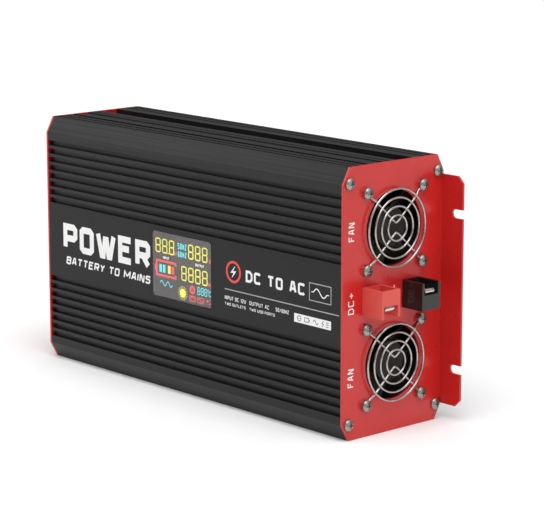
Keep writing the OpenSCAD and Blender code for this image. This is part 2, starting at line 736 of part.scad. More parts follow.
module switch_terminals() color("#c8a24a") on_mains_end(switch_pos[0], switch_pos[1])
    for (x = [-7.5, 7.5], y = [-5, 5]) translate([x, y, -27]) cube([6.3, 0.8, 10], center = true);

// ---- USB ports, lamp and earth stud ---------------------------------------------------------

usb_l = 34;
usb_w = 22;
usb_a = [13.1, 5.7, 0.35];
usb_c = [8.94, 3.2, 0.3];
usb_a_x = 7.5;
usb_c_x = -7;
usb_depth = 14;
usb_face = 1.6;

module usb_c_outline(grow) rounded_box(usb_c[1] + 2 * grow, usb_c[0] + 2 * grow, 40, usb_c[1] / 2 + grow - eps);

module usb_block() color("#17181a") on_mains_end(usb_pos[0], usb_pos[1]) difference() {
    union() {
        rounded_box(usb_l, usb_w, usb_face, 2);
        translate([0, 0, -17]) linear_extrude(17.5) square([usb_l - 3, usb_w - 3], center = true);
    }
    translate([usb_a_x, 0, usb_face - usb_depth + 20 - fit_gap])
        cube([usb_a[1] + 2 * fit_gap, usb_a[0] + 2 * fit_gap, 40], center = true);
    translate([usb_c_x, 0, usb_face - usb_depth - fit_gap]) usb_c_outline(fit_gap);
}

module usb_a_shell() color("#c9ccd0") on_mains_end(usb_pos[0], usb_pos[1])
    translate([usb_a_x, 0, usb_face - usb_depth / 2]) difference() {
        cube([usb_a[1], usb_a[0], usb_depth], center = true);
        translate([0, 0, 1.5]) cube([usb_a[1] - 2 * usb_a[2], usb_a[0] - 2 * usb_a[2], usb_depth], center = true);
    }

module usb_c_shell() color("#c9ccd0") on_mains_end(usb_pos[0], usb_pos[1])
    translate([usb_c_x, 0, usb_face - usb_depth]) difference() {
        intersection() {
            usb_c_outline(0);
            cube([30, 30, 2 * usb_depth], center = true);
        }
        translate([0, 0, 1.5]) usb_c_outline(-usb_c[2]);
    }

module usb_tongues() color("#e9e9ea") on_mains_end(usb_pos[0], usb_pos[1])
    translate([0, 0, usb_face - usb_depth + 1.5]) {
        translate([usb_a_x + 1.2, 0, 4.6]) cube([1.8, 11, 9.2], center = true);
        translate([usb_c_x, 0, 4]) cube([0.7, 6.6, 8], center = true);
    }

module status_lamp() color("#56d364") on_mains_end(lamp_pos[0], lamp_pos[1]) {
    translate([0, 0, -6]) cylinder(h = 7, r = lamp_r);
    translate([0, 0, 1]) sphere(lamp_r);
    translate([0, 0, -plate_t - 1.2]) cylinder(h = 1.2, r = lamp_r + 0.6);
}

stud_out = 16;
stud_relief = 0.5;
washer_t = 1;
nut_t = 4;

// Shouldered stud: the thinner end past the nut takes the ring terminal, over a small relief
module earth_stud() color("#b9bcc0") on_mains_end(earth_pos[0], earth_pos[1]) {
    seat = washer_t + nut_t;
    rotate_extrude() polygon([[0, -9], [stud_shoulder_r, -9], [stud_shoulder_r, seat],
        [stud_r - 0.4, seat], [stud_r - 0.4, seat + stud_relief], [stud_r, seat + stud_relief],
        [stud_r, stud_out], [0, stud_out]]);
}

module earth_nuts() color("#a8abb0") on_mains_end(earth_pos[0], earth_pos[1]) {
    for (z = [0, -plate_t - washer_t]) translate([0, 0, z]) difference() {
        cylinder(h = washer_t, r = 5.8);
        translate([0, 0, -1]) cylinder(h = 3, r = stud_shoulder_r + run_gap);
    }
    translate([0, 0, washer_t]) hex_nut(5.77, stud_shoulder_r + run_gap, nut_t);
    translate([0, 0, -plate_t - washer_t - nut_t]) hex_nut(5.77, stud_shoulder_r + run_gap, nut_t);
}

// ---- Electronics ----------------------------------------------------------------------------

// Distances of the component groups from the inside of the battery plate
bar_x = [41, 124];
bar_rise = 64;
bar_t = 6;
bar_h = 30;
transformer_x = 98;
transformer_rise = 29;
bulk_cap_x = 145;
small_cap_x = [48, 66];
choke_x = 228;
transistor_pitch = 10.6;

module main_board() color("#1f6b3a") difference() {
    translate([board_x0, board_y, board_edge]) cube([board_x1 - board_x0, board_t, body_h - 2 * board_edge]);
    for (x = [board_x0 + 8, board_x1 - 8]) translate([x, board_y - 1, mid_z]) rotate([-90, 0, 0])
        cylinder(h = 4, r = 1.7);
}

module control_board() color("#1f5f6b") translate([inner_x - 193, board_y - 34, mid_z - 22]) {
    cube([board_t, 31, 66]);
    translate([0, 30.9, 8]) cube([3, 3.1, 50]);
}

// One aluminium bar above and one below the transformers
module heat_sink_bars() color("#b4b8bd") for (s = [-1, 1])
    translate([inner_x - bar_x[1], board_y - bar_h, mid_z + s * bar_rise - bar_t / 2])
        difference() {
            cube([bar_x[1] - bar_x[0], bar_h, bar_t]);
            for (k = [0 : 5]) translate([-1, 1.5 + 2.4 * k, s > 0 ? bar_t - 2 : -1])
                cube([bar_x[1] - bar_x[0] + 2, 1.2, 3]);
        }

// Transistors clamped to the bars: a moulded body, a metal tab and three legs each
module power_transistors() color("#2a2a2c") for (s = [-1, 1], k = [0 : 6])
    translate([inner_x - bar_x[1] + 7 + k * transistor_pitch, board_y, mid_z + s * (bar_rise - bar_t / 2)])
        scale([1, 1, s]) {
            translate([-5, -22, -4.4]) cube([10, 15, 4.4]);
            translate([-5, -28, -1.3]) cube([10, 6.1, 1.3]);
            for (x = [-2.54, 0, 2.54]) translate([x - 0.4, -7.1, -2.8]) cube([0.8, 7.1, 0.6]);
        }

module transformer_places() for (s = [-1, 1])
    on_board(inner_x - transformer_x, mid_z + s * transformer_rise) children();

module transformer_cores() color("#3c3d40") transformer_places() translate([0, 0, 19]) difference() {
    cube([46, 18, 38], center = true);
    for (x = [-1, 1]) translate([x * 11.5, 0, 0]) cube([11, 20, 26], center = true);
}

module transformer_coils() color("#d9b23c") transformer_places() translate([0, 0, 19]) difference() {
    cube([33.6, 36, 25.6], center = true);
    cube([12.4, 18.4, 30], center = true);
}

module capacitors() color("#23324f") {
    for (x = small_cap_x, s = [-1, 1], rise = [30.5, 47.5]) on_board(inner_x - x, mid_z + s * rise)
        cylinder(h = 30, r = 7.5);
    for (s = [-1, 1]) on_board(inner_x - bulk_cap_x, mid_z + s * 30) cylinder(h = 45, r = 15);
}

module input_fuses() color("#d8781e") for (rise = [-17.6, -11, 13, 19.6])
    on_board(inner_x - 44, mid_z + rise) translate([-9.5, -2.3, 0]) cube([19, 4.6, 18]);

module choke_place() on_board(inner_x - choke_x, mid_z - 40) translate([0, 0, 10]) children();

module output_choke_core() color("#6b6e55") choke_place() difference() {
    cylinder(h = 14, r = 18, center = true);
    cylinder(h = 16, r = 10, center = true);
}

module output_choke_coil() color("#a5632c") choke_place() rotate_extrude(angle = 320)
    difference() {
        translate([8, -9.4]) square([12, 18.8]);
        translate([9.8, -7.2]) square([8.4, 14.4]);
    }

// Two insulated wires from each outlet: back, round one bend and into the main board
module mains_leads() color("#7a4a24") for (z = outlet_z, s = [-1, 1]) {
    wire = 1.5;
    bend = 6;
    start = -end_x - outlet_face + recess_d + outlet_floor + sleeve_l;
    turn = start + (s > 0 ? 8 : 15);
    y = s * pin_pitch / 2;
    translate([0, y, z]) {
        translate([start, 0, 0]) rotate([0, 90, 0]) cylinder(h = turn - bend - start, r = wire);
        translate([turn - bend, bend, 0]) rotate([0, 0, -90]) rotate_extrude(angle = 90)
            translate([bend, 0]) circle(wire);
        translate([turn, bend, 0]) rotate([-90, 0, 0]) cylinder(h = board_y - y - bend, r = wire);
    }
}

front_shell();
rear_shell();
battery_end_plate();
mains_end_plate();
battery_plate_screws();
mains_plate_screws();
front_film();
display_glass();
display_frame();
lcd_panel();
display_board();
display_screws();
display_ribbon();
positive_housing();
negative_housing();
positive_contact();
negative_contact();
positive_lead();
negative_lead();
board_terminals();
upper_fan_frame();
lower_fan_frame();
upper_fan_impeller();
lower_fan_impeller();
upper_fan_shaft();
lower_fan_shaft();
upper_fan_bearings();
lower_fan_bearings();
upper_fan_stator();
lower_fan_stator();
upper_fan_guard();
lower_fan_guard();
fan_screws();
fan_nuts();
upper_outlet_body();
lower_outlet_body();
outlet_sleeves();
outlet_earth_clips();
outlet_screws();
switch_housing();
switch_rocker();
switch_terminals();
usb_block();
usb_a_shell();
usb_c_shell();
usb_tongues();
status_lamp();
earth_stud();
earth_nuts();
main_board();
control_board();
heat_sink_bars();
power_transistors();
transformer_cores();
transformer_coils();
capacitors();
input_fuses();
output_choke_core();
output_choke_coil();
mains_leads();
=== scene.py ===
"""Dresses a portable power inverter: finishes for its parts, printed artwork, a lit display and a studio.

Lengths in this file are millimetres in the part's own frame (X along the case, -Y the display face,
+Y the mounting plane, Z up) and are turned into metres when a mesh is made.
"""

from __future__ import annotations

import json
import logging
import math
from dataclasses import dataclass, field
from enum import Enum
from typing import Any, Sequence

import bmesh
import bpy
import numpy as np
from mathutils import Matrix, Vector
from mathutils.geometry import delaunay_2d_cdt
from numpy.typing import NDArray

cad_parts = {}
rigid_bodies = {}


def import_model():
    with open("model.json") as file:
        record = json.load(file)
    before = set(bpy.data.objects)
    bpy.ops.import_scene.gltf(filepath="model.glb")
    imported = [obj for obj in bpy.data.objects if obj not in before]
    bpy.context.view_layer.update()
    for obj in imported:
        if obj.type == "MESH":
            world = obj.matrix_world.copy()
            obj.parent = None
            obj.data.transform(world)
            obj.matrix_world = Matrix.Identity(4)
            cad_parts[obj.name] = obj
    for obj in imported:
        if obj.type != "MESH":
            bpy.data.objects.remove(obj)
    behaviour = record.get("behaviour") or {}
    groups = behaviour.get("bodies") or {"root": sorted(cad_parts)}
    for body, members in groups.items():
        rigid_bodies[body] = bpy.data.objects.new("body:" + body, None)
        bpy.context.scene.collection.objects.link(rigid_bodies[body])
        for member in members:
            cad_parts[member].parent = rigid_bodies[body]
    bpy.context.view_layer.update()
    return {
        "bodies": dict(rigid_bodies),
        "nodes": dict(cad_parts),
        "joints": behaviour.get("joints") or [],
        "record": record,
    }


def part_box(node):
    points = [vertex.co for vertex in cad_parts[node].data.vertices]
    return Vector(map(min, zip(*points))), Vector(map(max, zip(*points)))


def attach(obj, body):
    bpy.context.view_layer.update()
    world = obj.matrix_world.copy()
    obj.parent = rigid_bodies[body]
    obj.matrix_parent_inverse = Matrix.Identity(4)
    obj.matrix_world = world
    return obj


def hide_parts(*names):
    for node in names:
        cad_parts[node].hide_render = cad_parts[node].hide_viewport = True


LOG = logging.getLogger("inverter")
MM = 0.001
FAR_OUT = 0.3
LABEL_SPOT = (-0.036, 0.090)

Array = NDArray[np.float64]
Colour = tuple[float, float, float]
Socket = bpy.types.NodeSocket


class Body(str, Enum):
    """The moving bodies of the inverter."""

    CASE = "case"
    UPPER_ROTOR = "upper_rotor"
    LOWER_ROTOR = "lower_rotor"
    ROCKER = "rocker"


class Slot(str, Enum):
    """Names of the record's material slots; the calls that make new pieces pass one along, but nothing reads
    it.
    """

    FILM = "film_black"
    WINDOW = "display_glass"
    WHITE = "white_plastic"
    RED = "red_plastic"
    BLACK = "black_plastic"
    METAL = "contact_metal"


# ---- Finishes -------------------------------------------------------------------------------


class Recipe:
    """A material's node tree, with short calls for the nodes that the finishes share."""

    def __init__(self, name: str) -> None:
        """Starts an empty tree with one Principled shader.

        Args:
            name: The material's name.
        """
        self.material = bpy.data.materials.new(name)
        self.material.use_nodes = True
        self.tree = self.material.node_tree
        self.tree.nodes.clear()
        self.shader = self.node("ShaderNodeBsdfPrincipled")
        self.join(self.shader.outputs[0], self.node("ShaderNodeOutputMaterial").inputs[0])
        self.place: Socket = self.node("ShaderNodeTexCoord").outputs["Object"]

    def node(self, kind: str, **settings: Any) -> bpy.types.Node:
        """Adds a node and sets its own options.

        Args:
            kind: Blender's name of the node type.
            **settings: Options of the node, such as operation.

        Returns:
            The new node.
        """
        made = self.tree.nodes.new(kind)
        for name, value in settings.items():
            setattr(made, name, value)
        return made

    def join(self, source: Socket, target: Socket) -> None:
        """Links an output to an input."""
        self.tree.links.new(source, target)

    def feed(self, target: Socket, value: Socket | float | Sequence[float]) -> None:
        """Links a socket, or sets a plain value on the input itself."""
        if isinstance(value, bpy.types.NodeSocket):
            self.join(value, target)
        else:
            target.default_value = value

    def constants(self, **values: float | tuple[float, ...]) -> None:
        """Sets values on the shader's own sockets; an underscore in a name stands for a space."""
        for name, value in values.items():
            self.shader.inputs[name.replace("_", " ")].default_value = value

    def scaled(self, x: float, y: float, z: float) -> Socket:
        """Object coordinates stretched by a factor along each axis.

        Args:
            x: Factor along the case.
            y: Factor across the case.
            z: Factor up.

        Returns:
            The stretched coordinates.
        """
        mapping = self.node("ShaderNodeMapping")
        self.join(self.place, mapping.inputs["Vector"])
        mapping.inputs["Scale"].default_value = (x, y, z)
        return mapping.outputs[0]

    def noise(self, scale: float, detail: float = 2.0, place: Socket | None = None) -> Socket:
        """Smooth noise in 0..1.

        Args:
            scale: Waves per metre before the coordinates' own stretch.
            detail: Number of finer layers added.
            place: Coordinates, the plain Object ones if left out.

        Returns:
            The noise value.
        """
        made = self.node("ShaderNodeTexNoise")
        self.join(place or self.place, made.inputs["Vector"])
        made.inputs["Scale"].default_value = scale
        made.inputs["Detail"].default_value = detail
        return made.outputs[0]

    def cells(self, scale: float, place: Socket | None = None) -> Socket:
        """Distance to the nearest of many scattered points, for pits and grains.

        Args:
            scale: Cells per metre.
            place: Coordinates, the plain Object ones if left out.

        Returns:
            The distance.
        """
        made = self.node("ShaderNodeTexVoronoi")
        self.join(place or self.place, made.inputs["Vector"])
        made.inputs["Scale"].default_value = scale
        return made.outputs["Distance"]

    def waves(self, scale: float, direction: str, distortion: float = 0.0) -> Socket:
        """Even bands across one axis, for windings and wraps.

        Args:
            scale: Bands per metre, roughly, times six.
            direction: X, Y or Z.
            distortion: How far the bands wander.

        Returns:
            The band value in 0..1.
        """
        made = self.node("ShaderNodeTexWave", bands_direction=direction)
        self.join(self.place, made.inputs["Vector"])
        made.inputs["Scale"].default_value = scale
        made.inputs["Distortion"].default_value = distortion
        return made.outputs[1]

    def fit(self, value: Socket, low: float, high: float, to_low: float, to_high: float) -> Socket:
        """Carries the range low..high over to to_low..to_high and cuts off what lies outside.

        Args:
            value: What is carried over.
            low: Value that becomes to_low.
            high: Value that becomes to_high.
            to_low: Result at low.
            to_high: Result at high.

        Returns:
            The result.
        """
        made = self.node("ShaderNodeMapRange")
        for slot, given in zip(made.inputs, (value, low, high, to_low, to_high)):
            self.feed(slot, given)
        return made.outputs[0]

    def gloss(self, value: Socket, low: float, high: float, shiny: float, dull: float) -> None:
        """Makes the roughness follow a value: shiny at low, dull at high.

        Args:
            value: What the roughness follows.
            low: Value of the shiniest spots.
            high: Value of the dullest spots.
            shiny: Roughness at low.
            dull: Roughness at high.
        """
        self.join(self.fit(value, low, high, shiny, dull), self.shader.inputs["Roughness"])

    def blend(self, amount: Socket | float, first: Socket | Colour, second: Socket | Colour) -> Socket:
        """Mixes two colours.

        Args:
            amount: 0 for the first, 1 for the second.
            first: Colour or socket.
            second: Colour or socket.

        Returns:
            The mixed colour.
        """
        made = self.node("ShaderNodeMix", data_type="RGBA")
        self.feed(made.inputs[0], amount)
        for slot, given in ((made.inputs[6], first), (made.inputs[7], second)):
            self.feed(slot, given if isinstance(given, bpy.types.NodeSocket) else (*given, 1.0))
        return made.outputs[2]

    def sums(self, first: Socket, weight: float, second: Socket) -> Socket:
        """first times weight, plus second."""
        made = self.node("ShaderNodeMath", operation="MULTIPLY_ADD")
        for slot, given in zip(made.inputs, (first, weight, second)):
            self.feed(slot, given)
        return made.outputs[0]

    def rounded(self, radius: float) -> Socket:
        """Normals that turn smoothly over sharp edges.

        Args:
            radius: Radius of the softened edge.

        Returns:
            The softened normal.
        """
        made = self.node("ShaderNodeBevel", samples=4)
        made.inputs["Radius"].default_value = radius * MM
        return made.outputs[0]

    def edges(self, radius: float) -> Socket:
        """1 on sharp edges and 0 on flat faces: the softened normal parts from the true one there.

        Args:
            radius: Width of the edge band.

        Returns:
            The mask.
        """
        dot = self.node("ShaderNodeVectorMath", operation="DOT_PRODUCT")
        self.join(self.rounded(radius), dot.inputs[0])
        self.join(self.node("ShaderNodeNewGeometry").outputs["Normal"], dot.inputs[1])
        return self.fit(dot.outputs["Value"], 0.99, 0.80, 0.0, 1.0)

    def relief(self, height: Socket, depth: float, strength: float, base: Socket | None = None) -> None:
        """Turns a height into bumps on the shader's normal.

        Args:
            height: Value in 0..1.
            depth: Height of a full step, in millimetres.
            strength: How much of it shows.
            base: Normal that the bumps sit on.
        """
        made = self.node("ShaderNodeBump")
        made.inputs["Strength"].default_value = strength
        made.inputs["Distance"].default_value = depth * MM
        self.join(height, made.inputs["Height"])
        if base is not None:
            self.join(base, made.inputs["Normal"])
        self.join(made.outputs[0], self.shader.inputs["Normal"])


@dataclass(frozen=True)
class Finish:
    """What every finish has: a colour with a little variation, and how sharply it reflects."""

    name: str
    colour: Colour
    roughness: float
    metal: float = 0.0
    mottle: float = 0.10
    # The edge colour and amount give a painted highlight along sharp edges.
    edge_highlight_colour: Colour | None = None
    edge_highlight_amount: float = 0.5
    edge_mm: float = 0.35

    def cook(self) -> bpy.types.Material:
        """Builds the material, or returns it if it was built before.

        Returns:
            The finished material.
        """
        known = bpy.data.materials.get(self.name)
        if known is not None:
            return known
        recipe = Recipe(self.name)
        recipe.constants(Metallic=self.metal, Roughness=self.roughness)
        tint = self.tint(recipe)
        # Painted highlight: the colour is lightened along sharp edges, in noisy patches, towards the edge
        # colour.
        if self.edge_highlight_colour is not None:
            highlight_patches = recipe.fit(recipe.noise(180.0, 3.0), 0.35, 0.75, 0.2, self.edge_highlight_amount)
            edge_highlight_mask = recipe.node("ShaderNodeMath", operation="MULTIPLY")
            recipe.join(recipe.edges(self.edge_mm), edge_highlight_mask.inputs[0])
            recipe.join(highlight_patches, edge_highlight_mask.inputs[1])
            tint = recipe.blend(edge_highlight_mask.outputs[0], tint, self.edge_highlight_colour)
        recipe.join(tint, recipe.shader.inputs["Base Color"])
        self.surface(recipe)
        return recipe.material

    def tint(self, recipe: Recipe) -> Socket:
        """Base colour: broad, faint patches between a darker and a lighter tone.

        Args:
            recipe: The tree that is being built.

        Returns:
            The colour.
        """
        dark = tuple(c * (1.0 - self.mottle) for c in self.colour)
        light = tuple(min(1.0, c * (1.0 + self.mottle)) for c in self.colour)
        return recipe.blend(recipe.fit(recipe.noise(34.0, 4.0), 0.3, 0.7, 0.0, 1.0), dark, light)

    def surface(self, recipe: Recipe) -> None:
        """Gloss and relief; each kind of finish has its own.

        Args:
            recipe: The tree that is being built.
        """
        raise NotImplementedError


@dataclass(frozen=True)
class Extruded(Finish):
    """Satin anodised extrusion: faint die lines that run along the case, and a fine etched grain."""

    specular: float = 0.5

    def surface(self, recipe: Recipe) -> None:
        """Die lines and grain.

        Args:
            recipe: The tree that is being built.
        """
        lines = recipe.noise(1.0, 3.0, recipe.scaled(5.0, 850.0, 850.0))
        grain = recipe.noise(3200.0, 1.0)
        recipe.gloss(lines, 0.3, 0.7, self.roughness - 0.06, self.roughness + 0.08)
        recipe.constants(Specular_IOR_Level=self.specular)
        recipe.relief(recipe.sums(lines, 0.7, grain), 0.05, 0.30, recipe.rounded(0.25))


@dataclass(frozen=True)
class PowderCoat(Finish):
    """Glossy powder coat: shallow orange peel under a clear top, and softened edges; a lighter edge colour on
    it is a painted highlight.
    """

    peel: float = 0.35

    def surface(self, recipe: Recipe) -> None:
        """Orange peel and a clear coat.

        Args:
            recipe: The tree that is being built.
        """
        peel = recipe.noise(620.0, 1.0)
        dust = recipe.noise(90.0, 5.0)
        recipe.gloss(dust, 0.3, 0.75, self.roughness - 0.03, self.roughness + 0.07)
        recipe.constants(Coat_Weight=0.15, Coat_Roughness=0.10)
        recipe.relief(peel, 0.05, self.peel, recipe.rounded(0.4))


@dataclass(frozen=True)
class Moulded(Finish):
    """Moulded plastic: the fine spark texture of a mould, with slightly polished patches."""

    grain: float = 0.35
    round_mm: float = 0.25

    def surface(self, recipe: Recipe) -> None:
        """Mould texture.

        Args:
            recipe: The tree that is being built.
        """
        pits = recipe.cells(1900.0)
        patches = recipe.noise(70.0, 3.0)
        recipe.gloss(patches, 0.3, 0.7, self.roughness - 0.05, self.roughness + 0.08)
        recipe.relief(recipe.sums(pits, 0.8, patches), 0.04, self.grain, recipe.rounded(self.round_mm))


@dataclass(frozen=True)
class Plated(Finish):
    """Plated or bare metal: tiny scratches and a dull bloom in patches."""

    round_mm: float = 0.12

    def tint(self, recipe: Recipe) -> Socket:
        """Metal colour, darker where the plating has dulled.

        Args:
            recipe: The tree that is being built.

        Returns:
            The colour.
        """
        dull = tuple(c * (1.0 - 2.2 * self.mottle) for c in self.colour)
        return recipe.blend(recipe.fit(recipe.noise(420.0, 5.0), 0.42, 0.72, 0.0, 1.0), self.colour, dull)

    def surface(self, recipe: Recipe) -> None:
        """Scratches and bloom.

        Args:
            recipe: The tree that is being built.
        """
        scratches = recipe.noise(1.0, 4.0, recipe.scaled(300.0, 2600.0, 900.0))
        recipe.gloss(scratches, 0.3, 0.75, self.roughness - 0.05, self.roughness + 0.14)
        recipe.relief(scratches, 0.02, 0.35, recipe.rounded(self.round_mm))


@dataclass(frozen=True)
class Wound(Finish):
    """Windings and wraps: even bands across one axis, each a little round."""

    bands: float = 700.0
    direction: str = "X"
    shadow: float = 0.55

    def tint(self, recipe: Recipe) -> Socket:
        """Colour that darkens in the valleys between the turns, as painted shade.

        Args:
            recipe: The tree that is being built.

        Returns:
            The colour.
        """
        valley_shade_colour = tuple(c * self.shadow for c in self.colour)
        turns = recipe.waves(self.bands, self.direction, 0.6)
        return recipe.blend(recipe.fit(turns, 0.1, 0.7, 0.0, 1.0), valley_shade_colour, self.colour)

    def surface(self, recipe: Recipe) -> None:
        """Rounded turns.

        Args:
            recipe: The tree that is being built.
        """
        turns = recipe.waves(self.bands, self.direction, 0.6)
        recipe.relief(turns, 0.25, 0.6)


@dataclass(frozen=True)
class Board(Finish):
    """Circuit board: solder mask over paler tracks, with small bright pads."""

    pad: Colour = (0.55, 0.56, 0.55)

    def tint(self, recipe: Recipe) -> Socket:
        """Mask colour with tracks along both axes and scattered pads.

        Args:
            recipe: The tree that is being built.

        Returns:
            The colour.
        """
        track = tuple(min(1.0, c * 1.9 + 0.01) for c in self.colour)
        runs = recipe.noise(1.0, 0.0, recipe.scaled(60.0, 60.0, 420.0))
        tint = recipe.blend(recipe.fit(runs, 0.52, 0.54, 0.0, 1.0), self.colour, track)
        pads = recipe.fit(recipe.cells(260.0), 0.16, 0.13, 0.0, 1.0)
        return recipe.blend(pads, tint, self.pad)

    def surface(self, recipe: Recipe) -> None:
        """Raised tracks.

        Args:
            recipe: The tree that is being built.
        """
        runs = recipe.noise(1.0, 0.0, recipe.scaled(60.0, 60.0, 420.0))
        recipe.relief(recipe.fit(runs, 0.52, 0.54, 0.0, 1.0), 0.05, 0.5)


@dataclass(frozen=True)
class Brushed(Finish):
    """Mill-finish aluminium: long draw lines along one axis."""

    def surface(self, recipe: Recipe) -> None:
        """Draw lines.

        Args:
            recipe: The tree that is being built.
        """
        lines = recipe.noise(1.0, 4.0, recipe.scaled(8.0, 1400.0, 1400.0))
        recipe.gloss(lines, 0.3, 0.7, self.roughness - 0.08, self.roughness + 0.12)
        recipe.relief(lines, 0.03, 0.4, recipe.rounded(0.2))


@dataclass(frozen=True)
class Ink(Finish):
    """Screen-printed ink: flat, with a barely uneven coat."""

    glow: float = 0.0

    def surface(self, recipe: Recipe) -> None:
        """Uneven coat, and a glow where the ink is lit from behind.

        Args:
            recipe: The tree that is being built.
        """
        coat = recipe.noise(1600.0, 3.0)
        recipe.gloss(coat, 0.3, 0.7, self.roughness - 0.06, self.roughness + 0.06)
        if self.glow:
            recipe.constants(Emission_Color=(*self.colour, 1.0), Emission_Strength=self.glow)
        recipe.relief(coat, 0.01, 0.25)


@dataclass(frozen=True)
class Film(Ink):
    """Printed plastic film: as dull as its ink, with a weaker reflection."""

    specular: float = 0.32

    def surface(self, recipe: Recipe) -> None:
        """Uneven coat over a weak reflection.

        Args:
            recipe: The tree that is being built.
        """
        super().surface(recipe)
        recipe.constants(Specular_IOR_Level=self.specular)


@dataclass(frozen=True)
class Clear(Finish):
    """Clear window or lens: smooth, with the faintest smears."""

    bend: float = 1.49

    def surface(self, recipe: Recipe) -> None:
        """Clear body and smears.

        Args:
            recipe: The tree that is being built.
        """
        smears = recipe.noise(1.0, 3.0, recipe.scaled(60.0, 60.0, 160.0))
        recipe.gloss(smears, 0.35, 0.8, self.roughness, self.roughness + 0.09)
        recipe.constants(Transmission_Weight=1.0, IOR=self.bend)


@dataclass(frozen=True)
class Backing(Finish):
    """The display's tinted backing: a soft dark-to-light sweep upwards under a fine dot grid."""

    low_z: float = 66.0
    high_z: float = 112.0

    def tint(self, recipe: Recipe) -> Socket:
        """Sweep and grid.

        Args:
            recipe: The tree that is being built.

        Returns:
            The colour.
        """
        axes = recipe.node("ShaderNodeSeparateXYZ")
        recipe.join(recipe.place, axes.inputs[0])
        sweep = recipe.fit(axes.outputs[2], self.low_z * MM, self.high_z * MM, 0.0, 1.0)
        dark = tuple(c * 0.88 for c in self.colour)
        light = tuple(c * 1.12 for c in self.colour)
        grid = recipe.fit(recipe.cells(2400.0), 0.2, 0.6, 0.0, 0.06)
        return recipe.blend(grid, recipe.blend(sweep, dark, light), (0.02, 0.018, 0.018))

    def surface(self, recipe: Recipe) -> None:
        """Even, dull sheet.

        Args:
            recipe: The tree that is being built.
        """
        recipe.relief(recipe.cells(2400.0), 0.005, 0.1)


FAN_FRAME = Moulded("Fan frame plastic", (0.011, 0.011, 0.012), 0.48)
INK_WHITE = Ink("White ink", (0.88, 0.88, 0.87), 0.48, mottle=0.03)
INK_RED = Ink("Red ink", (0.80, 0.06, 0.05), 0.45, mottle=0.05)
INK_BLACK = Ink("Black ink", (0.015, 0.015, 0.016), 0.45, mottle=0.05)
INK_GREY = Ink("Grey ink", (0.42, 0.42, 0.42), 0.48, mottle=0.04)

SLOT_FINISH: dict[str, Finish] = {
    # The case's lighter edge colour is a painted highlight along its rib edges.
    "case_black": Extruded("Satin black anodised", (0.0062, 0.0062, 0.0064), 0.40, mottle=0.12,
                           edge_highlight_colour=(0.035, 0.035, 0.036), edge_highlight_amount=0.5, specular=0.32),
    # The lighter red along the plate's edges is a painted highlight.
    "plate_red": PowderCoat("Red powder coat", (0.56, 0.014, 0.012), 0.30, mottle=0.03,
                            edge_highlight_colour=(0.70, 0.03, 0.025), edge_highlight_amount=0.7),
    "screw_steel": Plated("Zinc plated steel", (0.38, 0.365, 0.34), 0.36, metal=1.0),
    "film_black": Film("Black film", (0.0060, 0.0060, 0.0062), 0.50, mottle=0.05),
    "display_glass": Backing("Display tint", (0.074, 0.062, 0.062), 0.55),
    "black_plastic": Moulded("Black moulded plastic", (0.013, 0.013, 0.014), 0.42),
    "red_plastic": Moulded("Red moulded plastic", (0.66, 0.078, 0.064), 0.40, mottle=0.04),
    "fan_plastic": Moulded("Fan plastic", (0.007, 0.0065, 0.0045), 0.55),
    "guard_wire": Plated("Nickel plated wire", (0.52, 0.505, 0.48), 0.26, metal=1.0, round_mm=0.05),
    "contact_metal": Plated("Silvered contact", (0.80, 0.79, 0.77), 0.22, metal=1.0),
    "brass": Plated("Bright brass", (0.78, 0.56, 0.25), 0.28, metal=1.0),
    "board_green": Board("Green board", (0.018, 0.115, 0.045), 0.35),
    "aluminium": Brushed("Mill aluminium", (0.66, 0.67, 0.68), 0.36, metal=1.0),
    "ferrite": Moulded("Ground ferrite", (0.045, 0.045, 0.048), 0.55, grain=0.7),
    "tape_yellow": Wound("Yellow tape", (0.62, 0.43, 0.06), 0.30, bands=120.0, direction="Z", shadow=0.8),
    "capacitor_sleeve": Wound("Capacitor sleeve", (0.022, 0.036, 0.085), 0.28, bands=60.0, direction="X",
                              shadow=0.85),
    "copper_wire": Wound("Enamelled copper", (0.60, 0.22, 0.07), 0.30, bands=900.0, direction="Z"),
    "lead_red": Moulded("Red cable sheath", (0.42, 0.018, 0.018), 0.50, grain=0.15),
    "lead_black": Moulded("Black cable sheath", (0.016, 0.016, 0.016), 0.50, grain=0.15),
    "ribbon_grey": Wound("Ribbon cable", (0.36, 0.38, 0.40), 0.50, bands=1200.0, direction="X", shadow=0.7),
    "lamp_green": Clear("Green lens", (0.16, 0.80, 0.24), 0.06),
    "white_plastic": Moulded("White moulded plastic", (0.74, 0.74, 0.73), 0.40, mottle=0.04),
    "fuse_orange": Clear("Fuse body", (0.95, 0.42, 0.08), 0.15),
}

NODE_FINISH: dict[str, Finish] = {
    "negative_housing": Moulded("Black connector plastic", (0.0105, 0.0105, 0.011), 0.16, grain=0.12),
    "upper_fan_frame": FAN_FRAME,
    "lower_fan_frame": FAN_FRAME,
    "power_transistors": Moulded("Moulding compound", (0.020, 0.020, 0.021), 0.60, grain=0.6),
    "control_board": Board("Blue board", (0.015, 0.07, 0.10), 0.35),
}


@dataclass
class Wardrobe:
    """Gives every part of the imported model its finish, by slot and by name."""

    frame: dict[str, Any]

    def dress(self) -> int:
        """Puts a material on every slot of every part.

        Returns:
            How many parts were dressed.
        """
        by_node = {p["node"]: p["material_slot"] for p in self.frame["record"]["subparts"] if "node" in p}
        for name, part in self.frame["nodes"].items():
            finish = NODE_FINISH.get(name) or SLOT_FINISH[by_node[name]]
            material = finish.cook()
            if not part.material_slots:
                part.data.materials.append(material)
            for place in part.material_slots:
                place.material = material
        return len(self.frame["nodes"])


# ---- Shapes ---------------------------------------------------------------------------------


